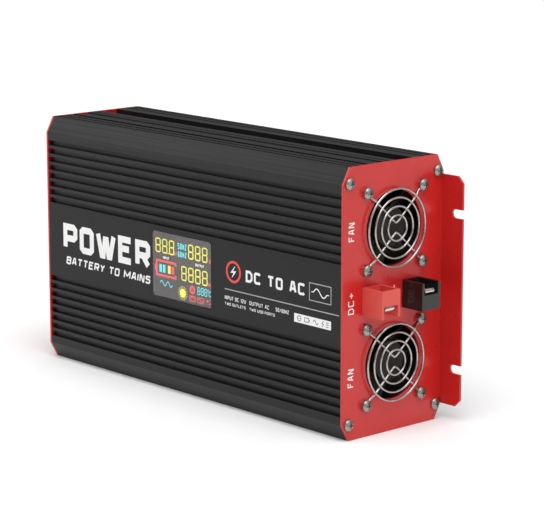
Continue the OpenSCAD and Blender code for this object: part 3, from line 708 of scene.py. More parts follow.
class Shape:
    """Closed solids gathered into one mesh."""

    def __init__(self) -> None:
        """Starts with nothing in it."""
        self.points: list[Array] = []
        self.faces: list[list[int]] = []
        self.count = 0

    def loft(self, loops: Array, ring: bool = False) -> None:
        """Adds a solid whose skin joins each loop to the next: point j of loop i, its neighbour j + 1
        and the same two of loop i + 1 make a quad, and j runs round.

        Args:
            loops: Points as an array of loop, place in the loop, and x y z.
            ring: True joins the last loop to the first, False closes each end with a flat face.
        """
        rows, across = loops.shape[:2]
        index = self.count + np.arange(rows * across).reshape(rows, across)
        turned = np.roll(index, -1, axis=1)
        after = np.roll(index, -1, axis=0)
        turned_after = np.roll(after, -1, axis=1)
        last = rows if ring else rows - 1
        quads = np.stack([index, turned, turned_after, after], axis=-1)[:last]
        self.faces += quads.reshape(-1, 4).tolist()
        if not ring:
            self.faces += [index[0][::-1].tolist(), index[-1].tolist()]
        self.points.append(loops.reshape(-1, 3))
        self.count += rows * across

    def prism(self, top: Array, bottom: Array, triangles: list[list[int]]) -> None:
        """Adds a solid between two equal flat meshes.

        Args:
            top: Points of the upper one.
            bottom: Points of the lower one.
            triangles: Its triangles.
        """
        upper = np.array(triangles) + self.count
        lower = upper[:, ::-1] + len(top)
        edges = np.concatenate([upper[:, [0, 1]], upper[:, [1, 2]], upper[:, [2, 0]]])
        known = set(map(tuple, edges.tolist()))
        rim = np.array([e for e in edges.tolist() if (e[1], e[0]) not in known])
        walls = np.stack([rim[:, 1], rim[:, 0], rim[:, 0] + len(top), rim[:, 1] + len(top)], axis=-1)
        self.faces += upper.tolist() + lower.tolist() + walls.tolist()
        self.points += [top, bottom]
        self.count += 2 * len(top)

    def make(self, name: str, finish: Finish, body: Body, slot: Slot) -> bpy.types.Object:
        """Turns what was gathered into one object that rides on a body.

        Args:
            name: The piece's name.
            finish: Its finish.
            body: The body that it rides on.
            slot: Not used.

        Returns:
            The object.
        """
        mesh = bpy.data.meshes.new(name)
        mesh.from_pydata((np.concatenate(self.points) * MM).tolist(), [], self.faces)
        work = bmesh.new()
        work.from_mesh(mesh)
        bmesh.ops.recalc_face_normals(work, faces=work.faces)
        work.to_mesh(mesh)
        work.free()
        mesh.shade_flat()
        piece = bpy.data.objects.new(name, mesh)
        bpy.context.scene.collection.objects.link(piece)
        mesh.materials.append(finish.cook())
        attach(piece, body.value)
        LOG.info("%s: %d faces", name, len(mesh.polygons))
        return piece


def rounded_rectangle(width: float, height: float, radius: float, steps: int = 7) -> Array:
    """Outline of a rectangle with round corners: each corner's centre plus the radius times
    (cos a, sin a), while a sweeps the quarter turn that belongs to that corner.

    Args:
        width: Size across.
        height: Size up.
        radius: Radius of the corners.
        steps: Points on each corner.

    Returns:
        Points as an array of place and x y, anticlockwise.
    """
    quarter = np.linspace(0.0, math.pi / 2, steps)
    angle = quarter[None, :] + np.arange(4)[:, None] * math.pi / 2
    side = np.array([[1, 1], [-1, 1], [-1, -1], [1, -1]], float)
    centre = side * (np.array([width, height]) / 2 - radius)
    around = np.stack([np.cos(angle), np.sin(angle)], axis=-1)
    return (centre[:, None, :] + radius * around).reshape(-1, 2)


def circle(radius: float, steps: int = 40) -> Array:
    """Outline of a circle: radius times (cos a, sin a) over a full turn.

    Args:
        radius: Its radius.
        steps: Points on it.

    Returns:
        Points as an array of place and x y.
    """
    angle = np.linspace(0.0, 2 * math.pi, steps, endpoint=False)
    return radius * np.stack([np.cos(angle), np.sin(angle)], axis=-1)


def ribbon(path: Array, width: float | Array, closed: bool) -> tuple[Array, Array]:
    """Both edges of a flat stroke: each point moves half the width along the mitre, which is the sum
    of the unit normals before and after it, divided by one plus their dot product.

    Args:
        path: Points as an array of place and x y.
        width: Width of the stroke, one for all or one for each point.
        closed: True if the last point joins the first.

    Returns:
        The left and the right edge.
    """
    ahead = np.roll(path, -1, axis=0) - path
    behind = path - np.roll(path, 1, axis=0)
    if not closed:
        ahead[-1], behind[0] = behind[-1], ahead[0]
    normals = [np.stack([-d[:, 1], d[:, 0]], axis=-1) / np.linalg.norm(d, axis=1, keepdims=True)
               for d in (behind, ahead)]
    spread = np.maximum(1.0 + np.sum(normals[0] * normals[1], axis=1, keepdims=True), 0.45)
    mitre = (normals[0] + normals[1]) / spread * np.reshape(np.asarray(width, float) / 2, (-1, 1))
    return path + mitre, path - mitre


def bars(path: Array, width: float, closed: bool) -> list[Array]:
    """A flat stroke as convex outlines: a rectangle for each stretch, which is its two ends moved half
    the width along its unit normal to either side, and a kite that fills the outer side of each bend.

    Args:
        path: Points as an array of place and x y.
        width: Width of the stroke.
        closed: True if the last point joins the first.

    Returns:
        The outlines, anticlockwise.
    """
    ahead = np.roll(path, -1, axis=0) - path
    normal = np.stack([-ahead[:, 1], ahead[:, 0]], axis=-1) / np.linalg.norm(ahead, axis=1, keepdims=True)
    normal *= width / 2
    after = np.roll(path, -1, axis=0)
    boxes = np.stack([path - normal, after - normal, after + normal, path + normal], axis=1)
    before = np.roll(normal, 1, axis=0)
    turn = before[:, 0] * normal[:, 1] - before[:, 1] * normal[:, 0]
    side = -np.sign(turn)[:, None]
    square = (width / 2) ** 2
    spread = np.maximum(square + np.sum(before * normal, axis=1, keepdims=True), square * 0.5)
    tip = (before + normal) * square / spread
    kites = np.stack([path, path + side * before, path + side * tip, path + side * normal], axis=1)
    kites = np.where(turn[:, None, None] > 0, kites, kites[:, ::-1])
    bent = np.abs(turn) > 1e-6 * width * width
    if not closed:
        boxes, bent = boxes[:-1], bent & (np.arange(len(path)) % (len(path) - 1) != 0)
    return [*boxes, *kites[bent]]


def union(outlines: Sequence[Array]) -> tuple[Array, list[list[int]]]:
    """Joins overlapping flat outlines into triangles that don't overlap, and leaves holes open.

    Args:
        outlines: Convex outlines, each an array of place and x y.

    Returns:
        The points and the triangles.
    """
    starts = np.cumsum([0] + [len(o) for o in outlines])
    faces = [list(range(a, b)) for a, b in zip(starts[:-1], starts[1:])]
    points = [Vector(p) for p in np.concatenate(outlines)]
    flat, _, triangles, _, _, source = delaunay_2d_cdt(points, [], faces, 1, 1e-4)
    inside = [list(t) for t, covered in zip(triangles, source) if covered]
    return np.array([tuple(p) for p in flat]), inside


@dataclass(frozen=True)
class Face:
    """A flat face that can be printed on: a point on it, its right and its up."""

    origin: tuple[float, float, float]
    right: tuple[float, float, float]
    up: tuple[float, float, float]

    def lift(self, flat: Array, height: float | Array) -> Array:
        """Carries flat points into space: origin + u right + v up + height times (right x up).

        Args:
            flat: Points whose last axis is u v.
            height: Height over the face, one for all or one for each point.

        Returns:
            The points with x y z as the last axis.
        """
        right, up = np.array(self.right, float), np.array(self.up, float)
        out = np.cross(right, up)
        height = np.broadcast_to(np.asarray(height, float), flat.shape[:-1])[..., None]
        return np.array(self.origin) + flat[..., :1] * right + flat[..., 1:] * up + height * out


# Letters as strokes on a grid nine high; each pair of digits is one point, and * closes a stroke.
GLYPHS: dict[str, str] = {
    "A": "00 29 49 60,13 53", "B": "00 09 59 68 66 55 05,55 64 61 50 00", "C": "61 50 10 01 08 19 59 68",
    "D": "00 09 49 67 62 40*", "E": "69 09 00 60,05 55", "F": "00 09 69,05 55", "H": "00 09,60 69,05 65",
    "I": "00 09", "L": "09 00 60", "M": "00 09 43 53 99 90", "N": "00 09 19 50 60 69",
    "O": "10 50 61 68 59 19 08 01*", "P": "00 09 59 68 65 54 04", "R": "00 09 59 68 65 54 04,34 60",
    "S": "01 10 50 61 64 55 15 06 08 19 59 68", "T": "09 69,39 30", "U": "09 01 10 50 61 69",
    "V": "09 30 50 89", "W": "09 20 30 47 57 60 70 99", "Y": "09 35 69,35 30", "Z": "09 69 00 60",
    "0": "10 50 61 68 59 19 08 01*", "1": "17 39 30", "2": "08 19 59 68 66 00 60",
    "5": "69 09 05 55 64 61 50 10 01", "6": "68 59 19 08 01 10 50 61 64 55 05",
    "+": "04 64,37 31", "-": "04 64", "/": "00 69", " ": "",
}
SEGMENTS = np.array([[[0, 2], [1, 2]], [[1, 2], [1, 1]], [[1, 1], [1, 0]], [[1, 0], [0, 0]],
                     [[0, 0], [0, 1]], [[0, 1], [0, 2]], [[0, 1], [1, 1]]], float)


class Print:
    """Flat artwork on one face: strokes, plates and lettering, all of one ink."""

    def __init__(self, face: Face, low: float, high: float) -> None:
        """Starts empty artwork.

        Args:
            face: The face that carries it.
            low: Height at which the ink starts.
            high: Height at which it ends.
        """
        self.face, self.low, self.high = face, low, high
        self.outlines: list[Array] = []

    def stroke(self, path: Sequence[Sequence[float]] | Array, width: float | Array,
               closed: bool = False) -> None:
        """Adds a stroke of even or changing width.

        Args:
            path: Its points.
            width: Its width, one for all or one for each point.
            closed: True if it joins up.
        """
        line = np.asarray(path, float)
        if np.ndim(width) == 0:
            self.outlines += bars(line, float(width), closed)
        else:
            left, right = ribbon(line, width, closed)
            self.outlines += list(np.stack([right[:-1], right[1:], left[1:], left[:-1]], axis=1))

    def plate(self, outline: Array, at: tuple[float, float]) -> None:
        """Adds a filled outline.

        Args:
            outline: Its points about its own middle.
            at: Where that middle goes.
        """
        self.outlines.append(outline + np.array(at))

    def text(self, words: str, at: tuple[float, float], size: tuple[float, float], stroke: float,
             space: float, slant: float = 0.0) -> None:
        """Adds lettering that fills a given width and height exactly.

        Args:
            words: The words.
            at: Lower left corner.
            size: Overall width and height.
            stroke: Width of the strokes.
            space: Clear space between letters.
            slant: Sideways lean for each unit of height.
        """
        wide = {c: max([int(p[0]) for p in GLYPHS[c].replace("*", "").replace(",", " ").split()] or [2])
                for c in set(words)}
        total = sum(wide[c] for c in words)
        unit = (size[0] - len(words) * stroke - (len(words) - 1) * space) / total
        rise = (size[1] - stroke) / 9.0
        left = at[0] + stroke / 2
        for letter in words:
            for line in filter(None, GLYPHS[letter].split(",")):
                closed = line.endswith("*")
                grid = np.array([[int(p[0]), int(p[1])] for p in line.rstrip("*").split()], float)
                high = at[1] + stroke / 2 + grid[:, 1] * rise
                flat = np.stack([left + grid[:, 0] * unit + slant * (high - at[1]), high], axis=-1)
                self.stroke(flat, stroke, closed)
            left += wide[letter] * unit + stroke + space

    def digit(self, at: tuple[float, float], size: tuple[float, float], width: float) -> None:
        """Adds the seven bars of a lit digit, each with pointed ends.

        Args:
            at: Middle of the digit.
            size: Its width and height over the bars' middles.
            width: Width of a bar.
        """
        corners = (SEGMENTS / np.array([1.0, 2.0]) - 0.5) * np.array(size) + np.array(at)
        along = corners[:, 1] - corners[:, 0]
        length = np.linalg.norm(along, axis=1, keepdims=True)
        tip = 0.12 * width / length
        full = 0.5 * width / length
        stations = np.stack([tip, tip + full, 1 - tip - full, 1 - tip], axis=1)
        paths = corners[:, :1] + stations * along[:, None, :]
        for path in paths:
            self.stroke(path, np.array([0.12, 1.0, 1.0, 0.12]) * width)

    def make(self, name: str, finish: Finish, slot: Slot, body: Body = Body.CASE) -> bpy.types.Object:
        """Turns the artwork into one piece.

        Args:
            name: The piece's name.
            finish: Its ink.
            slot: Passed on to Shape.make, which does not use it.
            body: The body that it rides on.

        Returns:
            The object.
        """
        shape = Shape()
        self.solid(shape)
        return shape.make(name, finish, body, slot)

    def solid(self, shape: Shape) -> None:
        """Turns the outlines into one thin closed solid: their union at both heights, and a wall under
        each edge that only one triangle has.

        Args:
            shape: Where the solid is added.
        """
        flat, triangles = union(self.outlines)
        shape.prism(self.face.lift(flat, self.high), self.face.lift(flat, self.low), triangles)


def sine(left: float, right: float, middle: float, swing: float, steps: int = 25) -> Array:
    """One full wave: height = middle + swing times the sine of a full turn from left to right.

    Args:
        left: Where it starts.
        right: Where it ends.
        middle: Its rest height.
        swing: Its reach up and down.
        steps: Points on it.

    Returns:
        The points.
    """
    along = np.linspace(0.0, 1.0, steps)
    return np.stack([left + (right - left) * along, middle + swing * np.sin(2 * math.pi * along)], axis=-1)


def face_at(name: str, start: Sequence[float], towards: Sequence[float]) -> tuple[Vector, Vector]:
    """Finds where a straight line meets a part, so that what is printed there lies on its face.

    Args:
        name: The part.
        start: Where the line starts, in metres.
        towards: Which way it runs.

    Returns:
        The point in millimetres and the face's normal.
    """
    hit, point, normal, _ = bpy.data.objects[name].ray_cast(Vector(start), Vector(towards))
    if not hit:
        raise RuntimeError(f"{name} has no face where its print goes")
    return point / MM, normal


# ---- Sub-assemblies -------------------------------------------------------------------------


@dataclass
class FrontPanel:
    """The printed film on the display face: a sheet round the window, and its artwork."""

    sink: float = 0.06
    ink: float = 0.03
    wall: float = 0.36
    window_gap: float = 0.25
    window_r: float = 2.6

    def build(self) -> None:
        """Makes the sheet and everything printed on it."""
        low, high = (Vector(c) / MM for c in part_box("front_film"))
        glass_low, glass_high = (Vector(c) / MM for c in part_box("display_glass"))
        face = Face((0.0, low.y + self.sink, 0.0), (1, 0, 0), (0, 0, 1))
        self.sheet(face, low, high, glass_low, glass_high)
        self.words(face)
        self.emblem(face)
        self.facts(face)

    def sheet(self, face: Face, low: Vector, high: Vector, glass_low: Vector, glass_high: Vector) -> None:
        """Makes the sheet: four outlines joined into a ring, the outer and the window's, each at the
        front and at the back, with as many points on one as on the other.

        Args:
            face: The film's outer face.
            low: Lowest corner of the film.
            high: Highest corner of the film.
            glass_low: Lowest corner of the window.
            glass_high: Highest corner of the window.
        """
        outer = rounded_rectangle(high.x - low.x, high.z - low.z, 0.6)
        outer += np.array([(high.x + low.x) / 2, (high.z + low.z) / 2])
        hole = rounded_rectangle(glass_high.x - glass_low.x + 2 * self.window_gap,
                                 glass_high.z - glass_low.z + 2 * self.window_gap, self.window_r)
        hole += np.array([(glass_high.x + glass_low.x) / 2, (glass_high.z + glass_low.z) / 2])
        shape = Shape()
        shape.loft(np.stack([face.lift(outer, -self.wall + self.sink), face.lift(outer, 0.0),
                             face.lift(hole, 0.0), face.lift(hole, -self.wall + self.sink)]), ring=True)
        piece = shape.make("printed_film", SLOT_FINISH["film_black"], Body.CASE, Slot.FILM)
        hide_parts("front_film")

    def words(self, face: Face) -> None:
        """Prints the large word and the line under it.

        Args:
            face: The film's outer face.
        """
        art = Print(face, 0.0, self.ink)
        art.text("POWER", (-136.8, 83.2), (99.3, 19.6), 4.7, 2.7)
        art.text("BATTERY TO MAINS", (-134.0, 72.9), (95.8, 5.8), 1.25, 1.15, slant=0.2)
        art.make("large_lettering", INK_WHITE, Slot.WHITE)

    def emblem(self, face: Face) -> None:
        """Prints a bolt in a ring, a short line of words, the wave sign and the rule under them.

        Args:
            face: The film's outer face.
        """
        ring = Print(face, 0.0, self.ink)
        ring.stroke(circle(6.7) + np.array([50.0, 95.4]), 1.7, closed=True)
        ring.make("emblem_ring", INK_RED, Slot.RED)
        art = Print(face, 0.0, self.ink)
        art.stroke([(51.6, 99.4), (48.4, 95.3), (51.6, 95.5), (48.5, 91.4)], np.array([0.3, 1.7, 1.7, 0.3]))
        art.text("DC TO AC", (62.4, 90.6), (57.6, 8.0), 1.75, 1.5)
        art.make("emblem_lettering", INK_WHITE, Slot.WHITE)
        fine = Print(face, 0.0, self.ink)
        fine.stroke([(124.1, 88.7), (144.2, 88.7), (144.2, 100.1), (124.1, 100.1)], 0.6, closed=True)
        fine.stroke([(41.2, 82.8), (151.6, 82.8)], 0.65)
        fine.make("emblem_lines", INK_GREY, Slot.WHITE)
        wave = Print(face, 0.0, self.ink)
        wave.stroke(sine(127.8, 140.4, 94.4, 2.5), 0.75)
        wave.stroke([(125.9, 94.4), (127.8, 94.4)], 0.6)
        wave.stroke([(140.4, 94.4), (142.4, 94.4)], 0.6)
        wave.make("wave_sign", INK_WHITE, Slot.WHITE)

    def facts(self, face: Face) -> None:
        """Prints two small lines and a white strip with five signs on it.

        Args:
            face: The film's outer face.
        """
        art = Print(face, 0.0, self.ink)
        art.text("INPUT DC 12V", (41.2, 75.7), (21.5, 2.6), 0.42, 0.42)
        art.text("OUTPUT AC", (66.0, 75.7), (19.5, 2.6), 0.42, 0.5)
        art.text("50/60HZ", (92.0, 75.7), (12.5, 2.6), 0.42, 0.5)
        art.text("TWO OUTLETS", (41.2, 71.9), (21.0, 1.9), 0.32, 0.4)
        art.text("TWO USB PORTS", (66.0, 71.9), (25.0, 1.9), 0.32, 0.4)
        art.plate(rounded_rectangle(34.6, 5.8, 0.5), (127.0, 74.9))
        art.make("small_lettering", INK_WHITE, Slot.WHITE)
        signs = Print(face, self.ink, 2 * self.ink)
        signs.stroke(circle(1.7, 24) + np.array([114.5, 74.9]), 0.4, closed=True)
        for side in (-0.7, 0.7):
            signs.plate(circle(0.32, 12), (114.5 + side, 74.9))
        signs.stroke([(119.6, 73.6), (119.6, 76.2), (123.6, 76.2), (123.6, 73.6)], 0.4, closed=True)
        signs.stroke([(124.2, 74.3), (124.2, 75.5)], 0.5)
        signs.stroke(sine(127.8, 132.4, 74.9, 1.3), 0.45)
        signs.stroke([(137.2, 76.9), (136.0, 75.0), (137.4, 75.0), (136.2, 72.9)], 0.45)
        for rise in (73.5, 74.9, 76.3):
            signs.stroke([(139.6, rise), (142.2, rise)], 0.45)
        signs.make("strip_signs", INK_BLACK, Slot.BLACK)


@dataclass
class Display:
    """The display: a clear pane with softened edges, a tinted backing, and the lit signs on it."""

    pane_t: float = 0.9
    backing_t: float = 0.25
    backing_depth: float = 1.2
    corner_r: float = 2.4
    soften: float = 0.18
    shift: float = -0.8
    lit: float = 0.85
    digit_size: tuple[float, float] = (4.6, 9.3)
    centre: tuple[float, float] = field(init=False)
    size: tuple[float, float] = field(init=False)

    def build(self) -> None:
        """Makes the pane, the backing and the lit signs."""
        low, high = (Vector(c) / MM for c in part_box("display_glass"))
        self.centre = ((low.x + high.x) / 2, (low.z + high.z) / 2)
        self.size = (high.x - low.x, high.z - low.z)
        face = Face((0.0, low.y, 0.0), (1, 0, 0), (0, 0, 1))
        pane = self.sheet(face, 0.0, -self.pane_t).make(
            "display_pane", Clear("Clear pane", (0.97, 0.95, 0.94), 0.03), Body.CASE, Slot.WINDOW)
        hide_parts("display_glass")
        self.sheet(face, -self.backing_depth, -self.backing_depth - self.backing_t, 0.04).make(
            "display_backing", SLOT_FINISH["display_glass"], Body.CASE, Slot.WINDOW)
        self.signs(face)

    def sheet(self, face: Face, high: float, low: float, soften: float | None = None) -> Shape:
        """A flat sheet with rounded corners whose front edge is softened: outlines at the back, at the
        side, and drawn in at the front.

        Args:
            face: The outer face.
            high: Height of its front.
            low: Height of its back.
            soften: Width of the softened edge.

        Returns:
            The shape.
        """
        soft = self.soften if soften is None else soften
        inset = np.array([0.0, 0.0, 0.3, 1.0]) * soft
        heights = [low, high - soft, high - 0.3 * soft, high]
        shape = Shape()
        shape.loft(np.stack([
            face.lift(rounded_rectangle(self.size[0] - 2 * i, self.size[1] - 2 * i, self.corner_r - i)
                      + np.array(self.centre), h) for i, h in zip(inset, heights)]))
        return shape

    def signs(self, face: Face) -> None:
        """Prints the lit digits and signs, one piece for each colour.

        Args:
            face: The outer face.
        """
        heights = (-self.backing_depth, -self.backing_depth + 0.06)
        moved = Face((self.shift, face.origin[1], 0.0), face.right, face.up)
        yellow, cyan, red, white = (Print(moved, *heights) for _ in range(4))
        for x in (-28.8, -21.6, -14.2, 6.1, 13.4, 20.7):
            yellow.digit((x, 102.1), self.digit_size, 0.95)
        for x in (-1.2, 6.1, 13.4, 20.7):
            yellow.digit((x, 86.1), self.digit_size, 0.95)
        yellow.plate(rounded_rectangle(1.0, 1.0, 0.3), (-18.0, 97.5))
        yellow.plate(circle(3.1, 32), (-2.6, 72.2))
        for turn in np.linspace(0.0, 2 * math.pi, 16, endpoint=False):
            way = np.array([math.cos(turn), math.sin(turn)])
            yellow.stroke(np.array([[-2.6, 72.2]]) + np.outer([3.7, 4.9], way), 0.42)
        yellow.stroke([(-16.9, 83.5), (-16.9, 89.0)], 2.9)
        for x in (-26.2, -22.4):
            cyan.stroke([(x, 83.4), (x, 89.0)], 2.7)
        cyan.text("50HZ", (-7.7, 102.3), (9.3, 4.3), 0.7, 0.6)
        cyan.text("60HZ", (-7.7, 96.9), (9.3, 3.9), 0.7, 0.6)
        cyan.stroke(sine(-26.8, -20.2, 75.9, 1.7), 0.55)
        cyan.stroke(sine(-20.2, -13.6, 75.9, 1.7), 0.55)
        for x in (14.3, 18.0, 21.6):
            cyan.digit((x, 76.4), (2.3, 4.9), 0.6)
        cyan.stroke(circle(0.5, 12) + np.array([24.0, 78.3]), 0.35, closed=True)
        cyan.stroke([(26.9, 77.6), (25.4, 77.6), (25.0, 76.9), (25.0, 75.1), (25.4, 74.4), (26.9, 74.4)], 0.5)
        red.stroke([(-10.2, 89.6), (-10.2, 91.4), (-30.4, 91.4), (-30.4, 81.2), (-10.2, 81.2),
                    (-10.2, 83.0)], 1.5)
        red.stroke([(-31.6, 84.2), (-31.6, 88.4)], 1.1)
        red.stroke([(-13.1, 83.5), (-13.1, 88.9)], 2.9)
        red.stroke([(-11.0, 99.9), (-10.2, 97.4), (-9.8, 97.4), (-9.0, 99.9)], 0.5)
        red.stroke([(24.9, 99.9), (25.7, 97.4), (26.1, 97.4), (26.9, 99.9)], 0.5)
        red.stroke([(24.2, 83.6), (24.8, 81.4), (25.6, 83.2), (26.4, 81.4), (27.0, 83.6)], 0.5)
        red.stroke(circle(2.3, 32) + np.array([7.6, 76.1]), 1.3, closed=True)
        for turn in (0.5, 2.6, 4.7):
            way = np.array([math.cos(turn), math.sin(turn)])
            red.stroke(np.array([[7.6, 76.1]]) + np.outer([0.2, 2.2], way), np.array([0.3, 1.1]))
        for x in (7.6, 16.0):
            red.stroke(rounded_rectangle(6.2, 3.5, 0.5, 3) + np.array([x, 69.9]), 0.5, closed=True)
        red.stroke([(6.0, 68.9), (6.0, 70.9), (9.2, 70.9), (9.2, 68.9)], 0.45)
        red.stroke(sine(13.8, 18.2, 69.9, 0.9), 0.45)
        red.stroke([(21.2, 70.6), (23.6, 71.2), (23.0, 69.8), (26.6, 71.8)], np.array([0.3, 0.8, 0.8, 0.3]))
        red.stroke([(24.6, 68.4), (26.4, 69.6)], 0.6)
        white.text("INPUT", (-23.6, 93.1), (6.6, 1.9), 0.38, 0.42)
        white.text("OUTPUT", (10.9, 93.1), (9.0, 1.9), 0.38, 0.42)
        inks = ((yellow, "yellow", (0.83, 0.80, 0.045)), (cyan, "cyan", (0.10, 0.70, 0.74)),
                (red, "red", (0.83, 0.052, 0.055)), (white, "white", (0.82, 0.82, 0.82)))
        for art, name, colour in inks:
            art.make(f"lit_{name}", Ink(f"Lit {name}", colour, 0.5, mottle=0.05, glow=self.lit), Slot.WINDOW)


@dataclass
class BatteryEnd:
    """Labels on the battery plate, and a sticker on each fan's hub."""

    ink: float = 0.03
    sticker_r: float = 9.5
    off_shaft: float = 4.0

    def build(self) -> None:
        """Makes the labels and the stickers."""
        low, high = (Vector(c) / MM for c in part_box("positive_housing"))
        plate_x = face_at("battery_end_plate", (FAR_OUT, *LABEL_SPOT), (-1, 0, 0))[0].x
        upward = Face((plate_x, 0.0, 0.0), (0, 0, 1), (0, -1, 0))
        art = Print(upward, -0.01, self.ink)
        art.text("FAN", (130.2, 35.3), (12.2, 5.2), 0.72, 1.1)
        art.text("FAN", (35.1, 35.3), (12.2, 5.2), 0.72, 1.1)
        art.text("DC+", (83.0, 35.4), (14.2, 5.1), 0.72, 1.1)
        art.text("DC-", (83.0, -2.9), (14.2, 5.1), 0.72, 1.1)
        art.make("battery_plate_lettering", INK_WHITE, Slot.WHITE)
        LOG.info("connectors stand %.1f mm proud of the plate", high.x - plate_x)
        for node, body in (("upper_fan_impeller", Body.UPPER_ROTOR), ("lower_fan_impeller", Body.LOWER_ROTOR)):
            self.sticker(node, body)

    def sticker(self, node: str, body: Body) -> None:
        """Puts a round sticker with two rings on a fan's hub.

        Args:
            node: The impeller.
            body: The body that the impeller turns with.
        """
        low, high = (Vector(c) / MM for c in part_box(node))
        middle = ((low.y + high.y) / 2, (low.z + high.z) / 2)
        point, _ = face_at(node, (FAR_OUT, (middle[0] + self.off_shaft) * MM, middle[1] * MM), (-1, 0, 0))
        face = Face((point.x, *middle), (0, 1, 0), (0, 0, 1))
        disc = Print(face, 0.0, 0.08)
        disc.plate(circle(self.sticker_r, 48), (0.0, 0.0))
        grey = Ink("Sticker grey", (0.010, 0.0095, 0.008), 0.60)
        disc.make(f"{body.value}_sticker", grey, Slot.METAL, body)
        rings = Print(face, 0.08, 0.10)
        rings.stroke(circle(self.sticker_r - 1.0, 48), 0.4, closed=True)
        rings.stroke(circle(self.sticker_r - 5.5, 32), 0.3, closed=True)
        for row in (-1, 1):
            rings.stroke([(-4.0, row * 6.0), (4.0, row * 6.0)], 0.6)
        rings.make(f"{body.value}_sticker_print", INK_BLACK, Slot.BLACK, body)


@dataclass
class MainsEnd:
    """Labels on the mains plate and the two marks on the rocker."""

    ink: float = 0.03

    def build(self) -> None:
        """Makes the labels and the marks."""
        plate_x = face_at("mains_end_plate", (-FAR_OUT, *LABEL_SPOT), (1, 0, 0))[0].x
        face = Face((plate_x, 0.0, 0.0), (0, -1, 0), (0, 0, 1))
        upward = Face((plate_x, 0.0, 0.0), (0, 0, 1), (0, 1, 0))
        art = Print(upward, -0.01, self.ink)
        art.text("AC OUT", (101.0, -35.6), (28.0, 5.0), 0.85, 1.1)
        art.make("outlet_lettering", INK_WHITE, Slot.WHITE)
        small = Print(face, -0.01, self.ink)
        small.text("USB", (-13.4, 59.2), (9.4, 3.2), 0.55, 0.7)
        small.stroke([(-31.0, 21.6), (-31.0, 18.4)], 0.55)
        for step, half in enumerate((2.6, 1.7, 0.8)):
            small.stroke([(-31.0 - half, 18.2 - 1.1 * step), (-31.0 + half, 18.2 - 1.1 * step)], 0.5)
        small.make("mains_plate_lettering", INK_WHITE, Slot.WHITE)
        self.marks()

    def marks(self) -> None:
        """Prints a bar and a ring on the two halves of the rocker, square to each half's face."""
        low, high = (Vector(c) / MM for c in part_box("switch_rocker"))
        middle = (low.z + high.z) / 2
        across = (low.y + high.y) / 2
        shape = Shape()
        for rise in (6.3, -6.3):
            point, normal = face_at("switch_rocker", (-FAR_OUT, across * MM, (middle + rise) * MM), (1, 0, 0))
            up = Vector((0, 1, 0)).cross(normal).normalized()
            up = up if up.z > 0 else -up
            face = Face(tuple(point), (0, -1, 0), tuple(up))
            art = Print(face, -0.01, 0.04)
            if rise > 0:
                art.stroke([(0.0, -2.0), (0.0, 2.0)], 0.75)
            else:
                art.stroke(circle(1.9, 32), 0.75, closed=True)
            art.solid(shape)
        shape.make("rocker_marks", INK_WHITE, Body.ROCKER, Slot.WHITE)


# ---- Studio ---------------------------------------------------------------------------------


@dataclass(frozen=True)
class Softbox:
    """One large soft light: where it hangs, what it faces, its size and its power."""

    name: str
    at: tuple[float, float, float]
    towards: tuple[float, float, float]
    size: tuple[float, float]
    power: float
    colour: Colour = (1.0, 1.0, 1.0)

    def hang(self) -> None:
        """Adds the light."""
        lamp = bpy.data.lights.new(self.name, "AREA")
        lamp.shape = "RECTANGLE"
        lamp.size, lamp.size_y = self.size
        lamp.energy = self.power
        lamp.color = self.colour
        holder = bpy.data.objects.new(self.name, lamp)
        holder.location = self.at
        aim = Vector(self.towards) - Vector(self.at)
        holder.rotation_euler = aim.to_track_quat("-Z", "Y").to_euler()
        bpy.context.scene.collection.objects.link(holder)


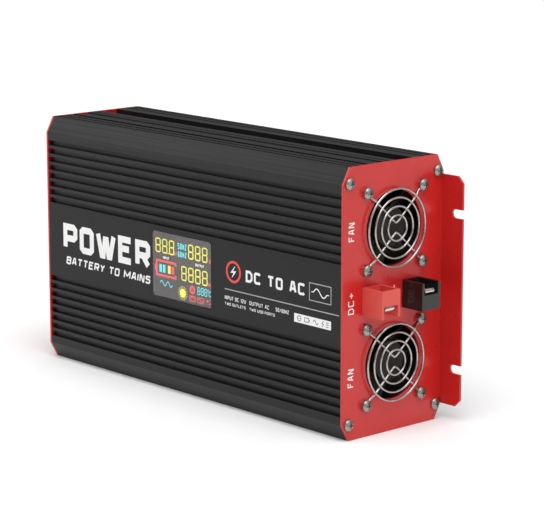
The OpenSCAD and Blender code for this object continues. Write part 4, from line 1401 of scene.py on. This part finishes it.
@dataclass
class Studio:
    """A pale floor, a soft sky, a broad light, softboxes and the camera."""

    camera_at: tuple[float, float, float] = (1.181734, -1.033851, 0.412150)
    azimuth: float = 47.8827
    elevation: float = 11.5191
    lens: float = 152.815
    sensor: float = 36.0
    clip: tuple[float, float] = (0.05, 60.0)
    floor_r: float = 14.0
    sun_from: tuple[float, float, float] = (0.30, -0.20, 0.93)
    sun_strength: float = 2.5
    sun_spread: float = 50.0
    softboxes: list[Softbox] = field(default_factory=lambda: [
        Softbox("Left softbox", (-1.7, -1.35, 1.05), (0.0, 0.0, 0.12), (1.3, 0.9), 7.5),
        Softbox("Right softbox", (1.9, 0.1, 0.9), (0.1, 0.0, 0.08), (0.8, 0.8), 2.0),
    ])

    def build(self) -> None:
        """Makes the floor, the sky, the lights and the camera."""
        self.floor()
        self.sky()
        self.sun()
        for box in self.softboxes:
            box.hang()
        self.camera()

    def floor(self) -> None:
        """Lays a flat disc whose rings grow outwards, painted pale with a faint unevenness."""
        angle = np.linspace(0.0, 2 * math.pi, 64, endpoint=False)
        radius = self.floor_r * np.linspace(0.05, 1.0, 12) ** 1.6
        grid = radius[:, None, None] * np.stack([np.cos(angle), np.sin(angle), 0 * angle], axis=-1)[None]
        rows, across = grid.shape[:2]
        index = np.arange(rows * across).reshape(rows, across)
        quads = np.stack([index[:-1], np.roll(index, -1, 1)[:-1], np.roll(index, -1, 1)[1:], index[1:]], -1)
        mesh = bpy.data.meshes.new("floor")
        mesh.from_pydata(grid.reshape(-1, 3).tolist(), [], quads.reshape(-1, 4)[:, ::-1].tolist()
                         + [index[0].tolist()])
        piece = bpy.data.objects.new("floor", mesh)
        bpy.context.scene.collection.objects.link(piece)
        mesh.materials.append(Moulded("Pale floor", (0.84, 0.84, 0.84), 0.75, mottle=0.004, grain=0.02).cook())

    def sky(self) -> None:
        """Lights the studio from above: the strength rises smoothly from the horizon to the top."""
        world = bpy.data.worlds.new("Studio")
        world.use_nodes = True
        tree = world.node_tree
        back = tree.nodes["Background"]
        axes = tree.nodes.new("ShaderNodeSeparateXYZ")
        tree.links.new(tree.nodes.new("ShaderNodeTexCoord").outputs["Generated"], axes.inputs[0])
        rise = tree.nodes.new("ShaderNodeMapRange")
        rise.interpolation_type = "SMOOTHSTEP"
        for slot, value in zip(list(rise.inputs)[1:5], (0.05, 0.80, 0.06, 0.70)):
            slot.default_value = value
        tree.links.new(axes.outputs[2], rise.inputs[0])
        tree.links.new(rise.outputs[0], back.inputs["Strength"])
        back.inputs["Color"].default_value = (1.0, 1.0, 1.0, 1.0)
        bpy.context.scene.world = world

    def sun(self) -> None:
        """Adds the broad light that makes the whole floor equally pale."""
        lamp = bpy.data.lights.new("Broad light", "SUN")
        lamp.energy = self.sun_strength
        lamp.angle = math.radians(self.sun_spread)
        holder = bpy.data.objects.new("Broad light", lamp)
        holder.rotation_euler = (-Vector(self.sun_from)).to_track_quat("-Z", "Y").to_euler()
        bpy.context.scene.collection.objects.link(holder)

    def camera(self) -> None:
        """Sets up the camera: it stands level and looks down at its elevation, from its azimuth."""
        eye = bpy.data.cameras.new("Camera")
        eye.lens = self.lens
        eye.sensor_width = self.sensor
        eye.clip_start, eye.clip_end = self.clip
        holder = bpy.data.objects.new("Camera", eye)
        holder.location = self.camera_at
        holder.rotation_euler = (math.radians(90.0 - self.elevation), 0.0, math.radians(self.azimuth))
        bpy.context.scene.collection.objects.link(holder)
        bpy.context.scene.camera = holder
        bpy.context.scene.view_settings.view_transform = "Standard"


def corners(box: Any) -> list[list[float]]:
    """A box's two corners as plain lists."""
    return [[float(v) for v in corner] for corner in box]


def main() -> None:
    """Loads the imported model, dresses it and sets up the studio."""
    logging.basicConfig(level=logging.INFO, format="%(name)s: %(message)s")
    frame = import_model()
    Studio().build()
    LOG.info("dressed %d parts", Wardrobe(frame).dress())
    FrontPanel().build()
    Display().build()
    BatteryEnd().build()
    MainsEnd().build()


if __name__ == "__main__":
    main()
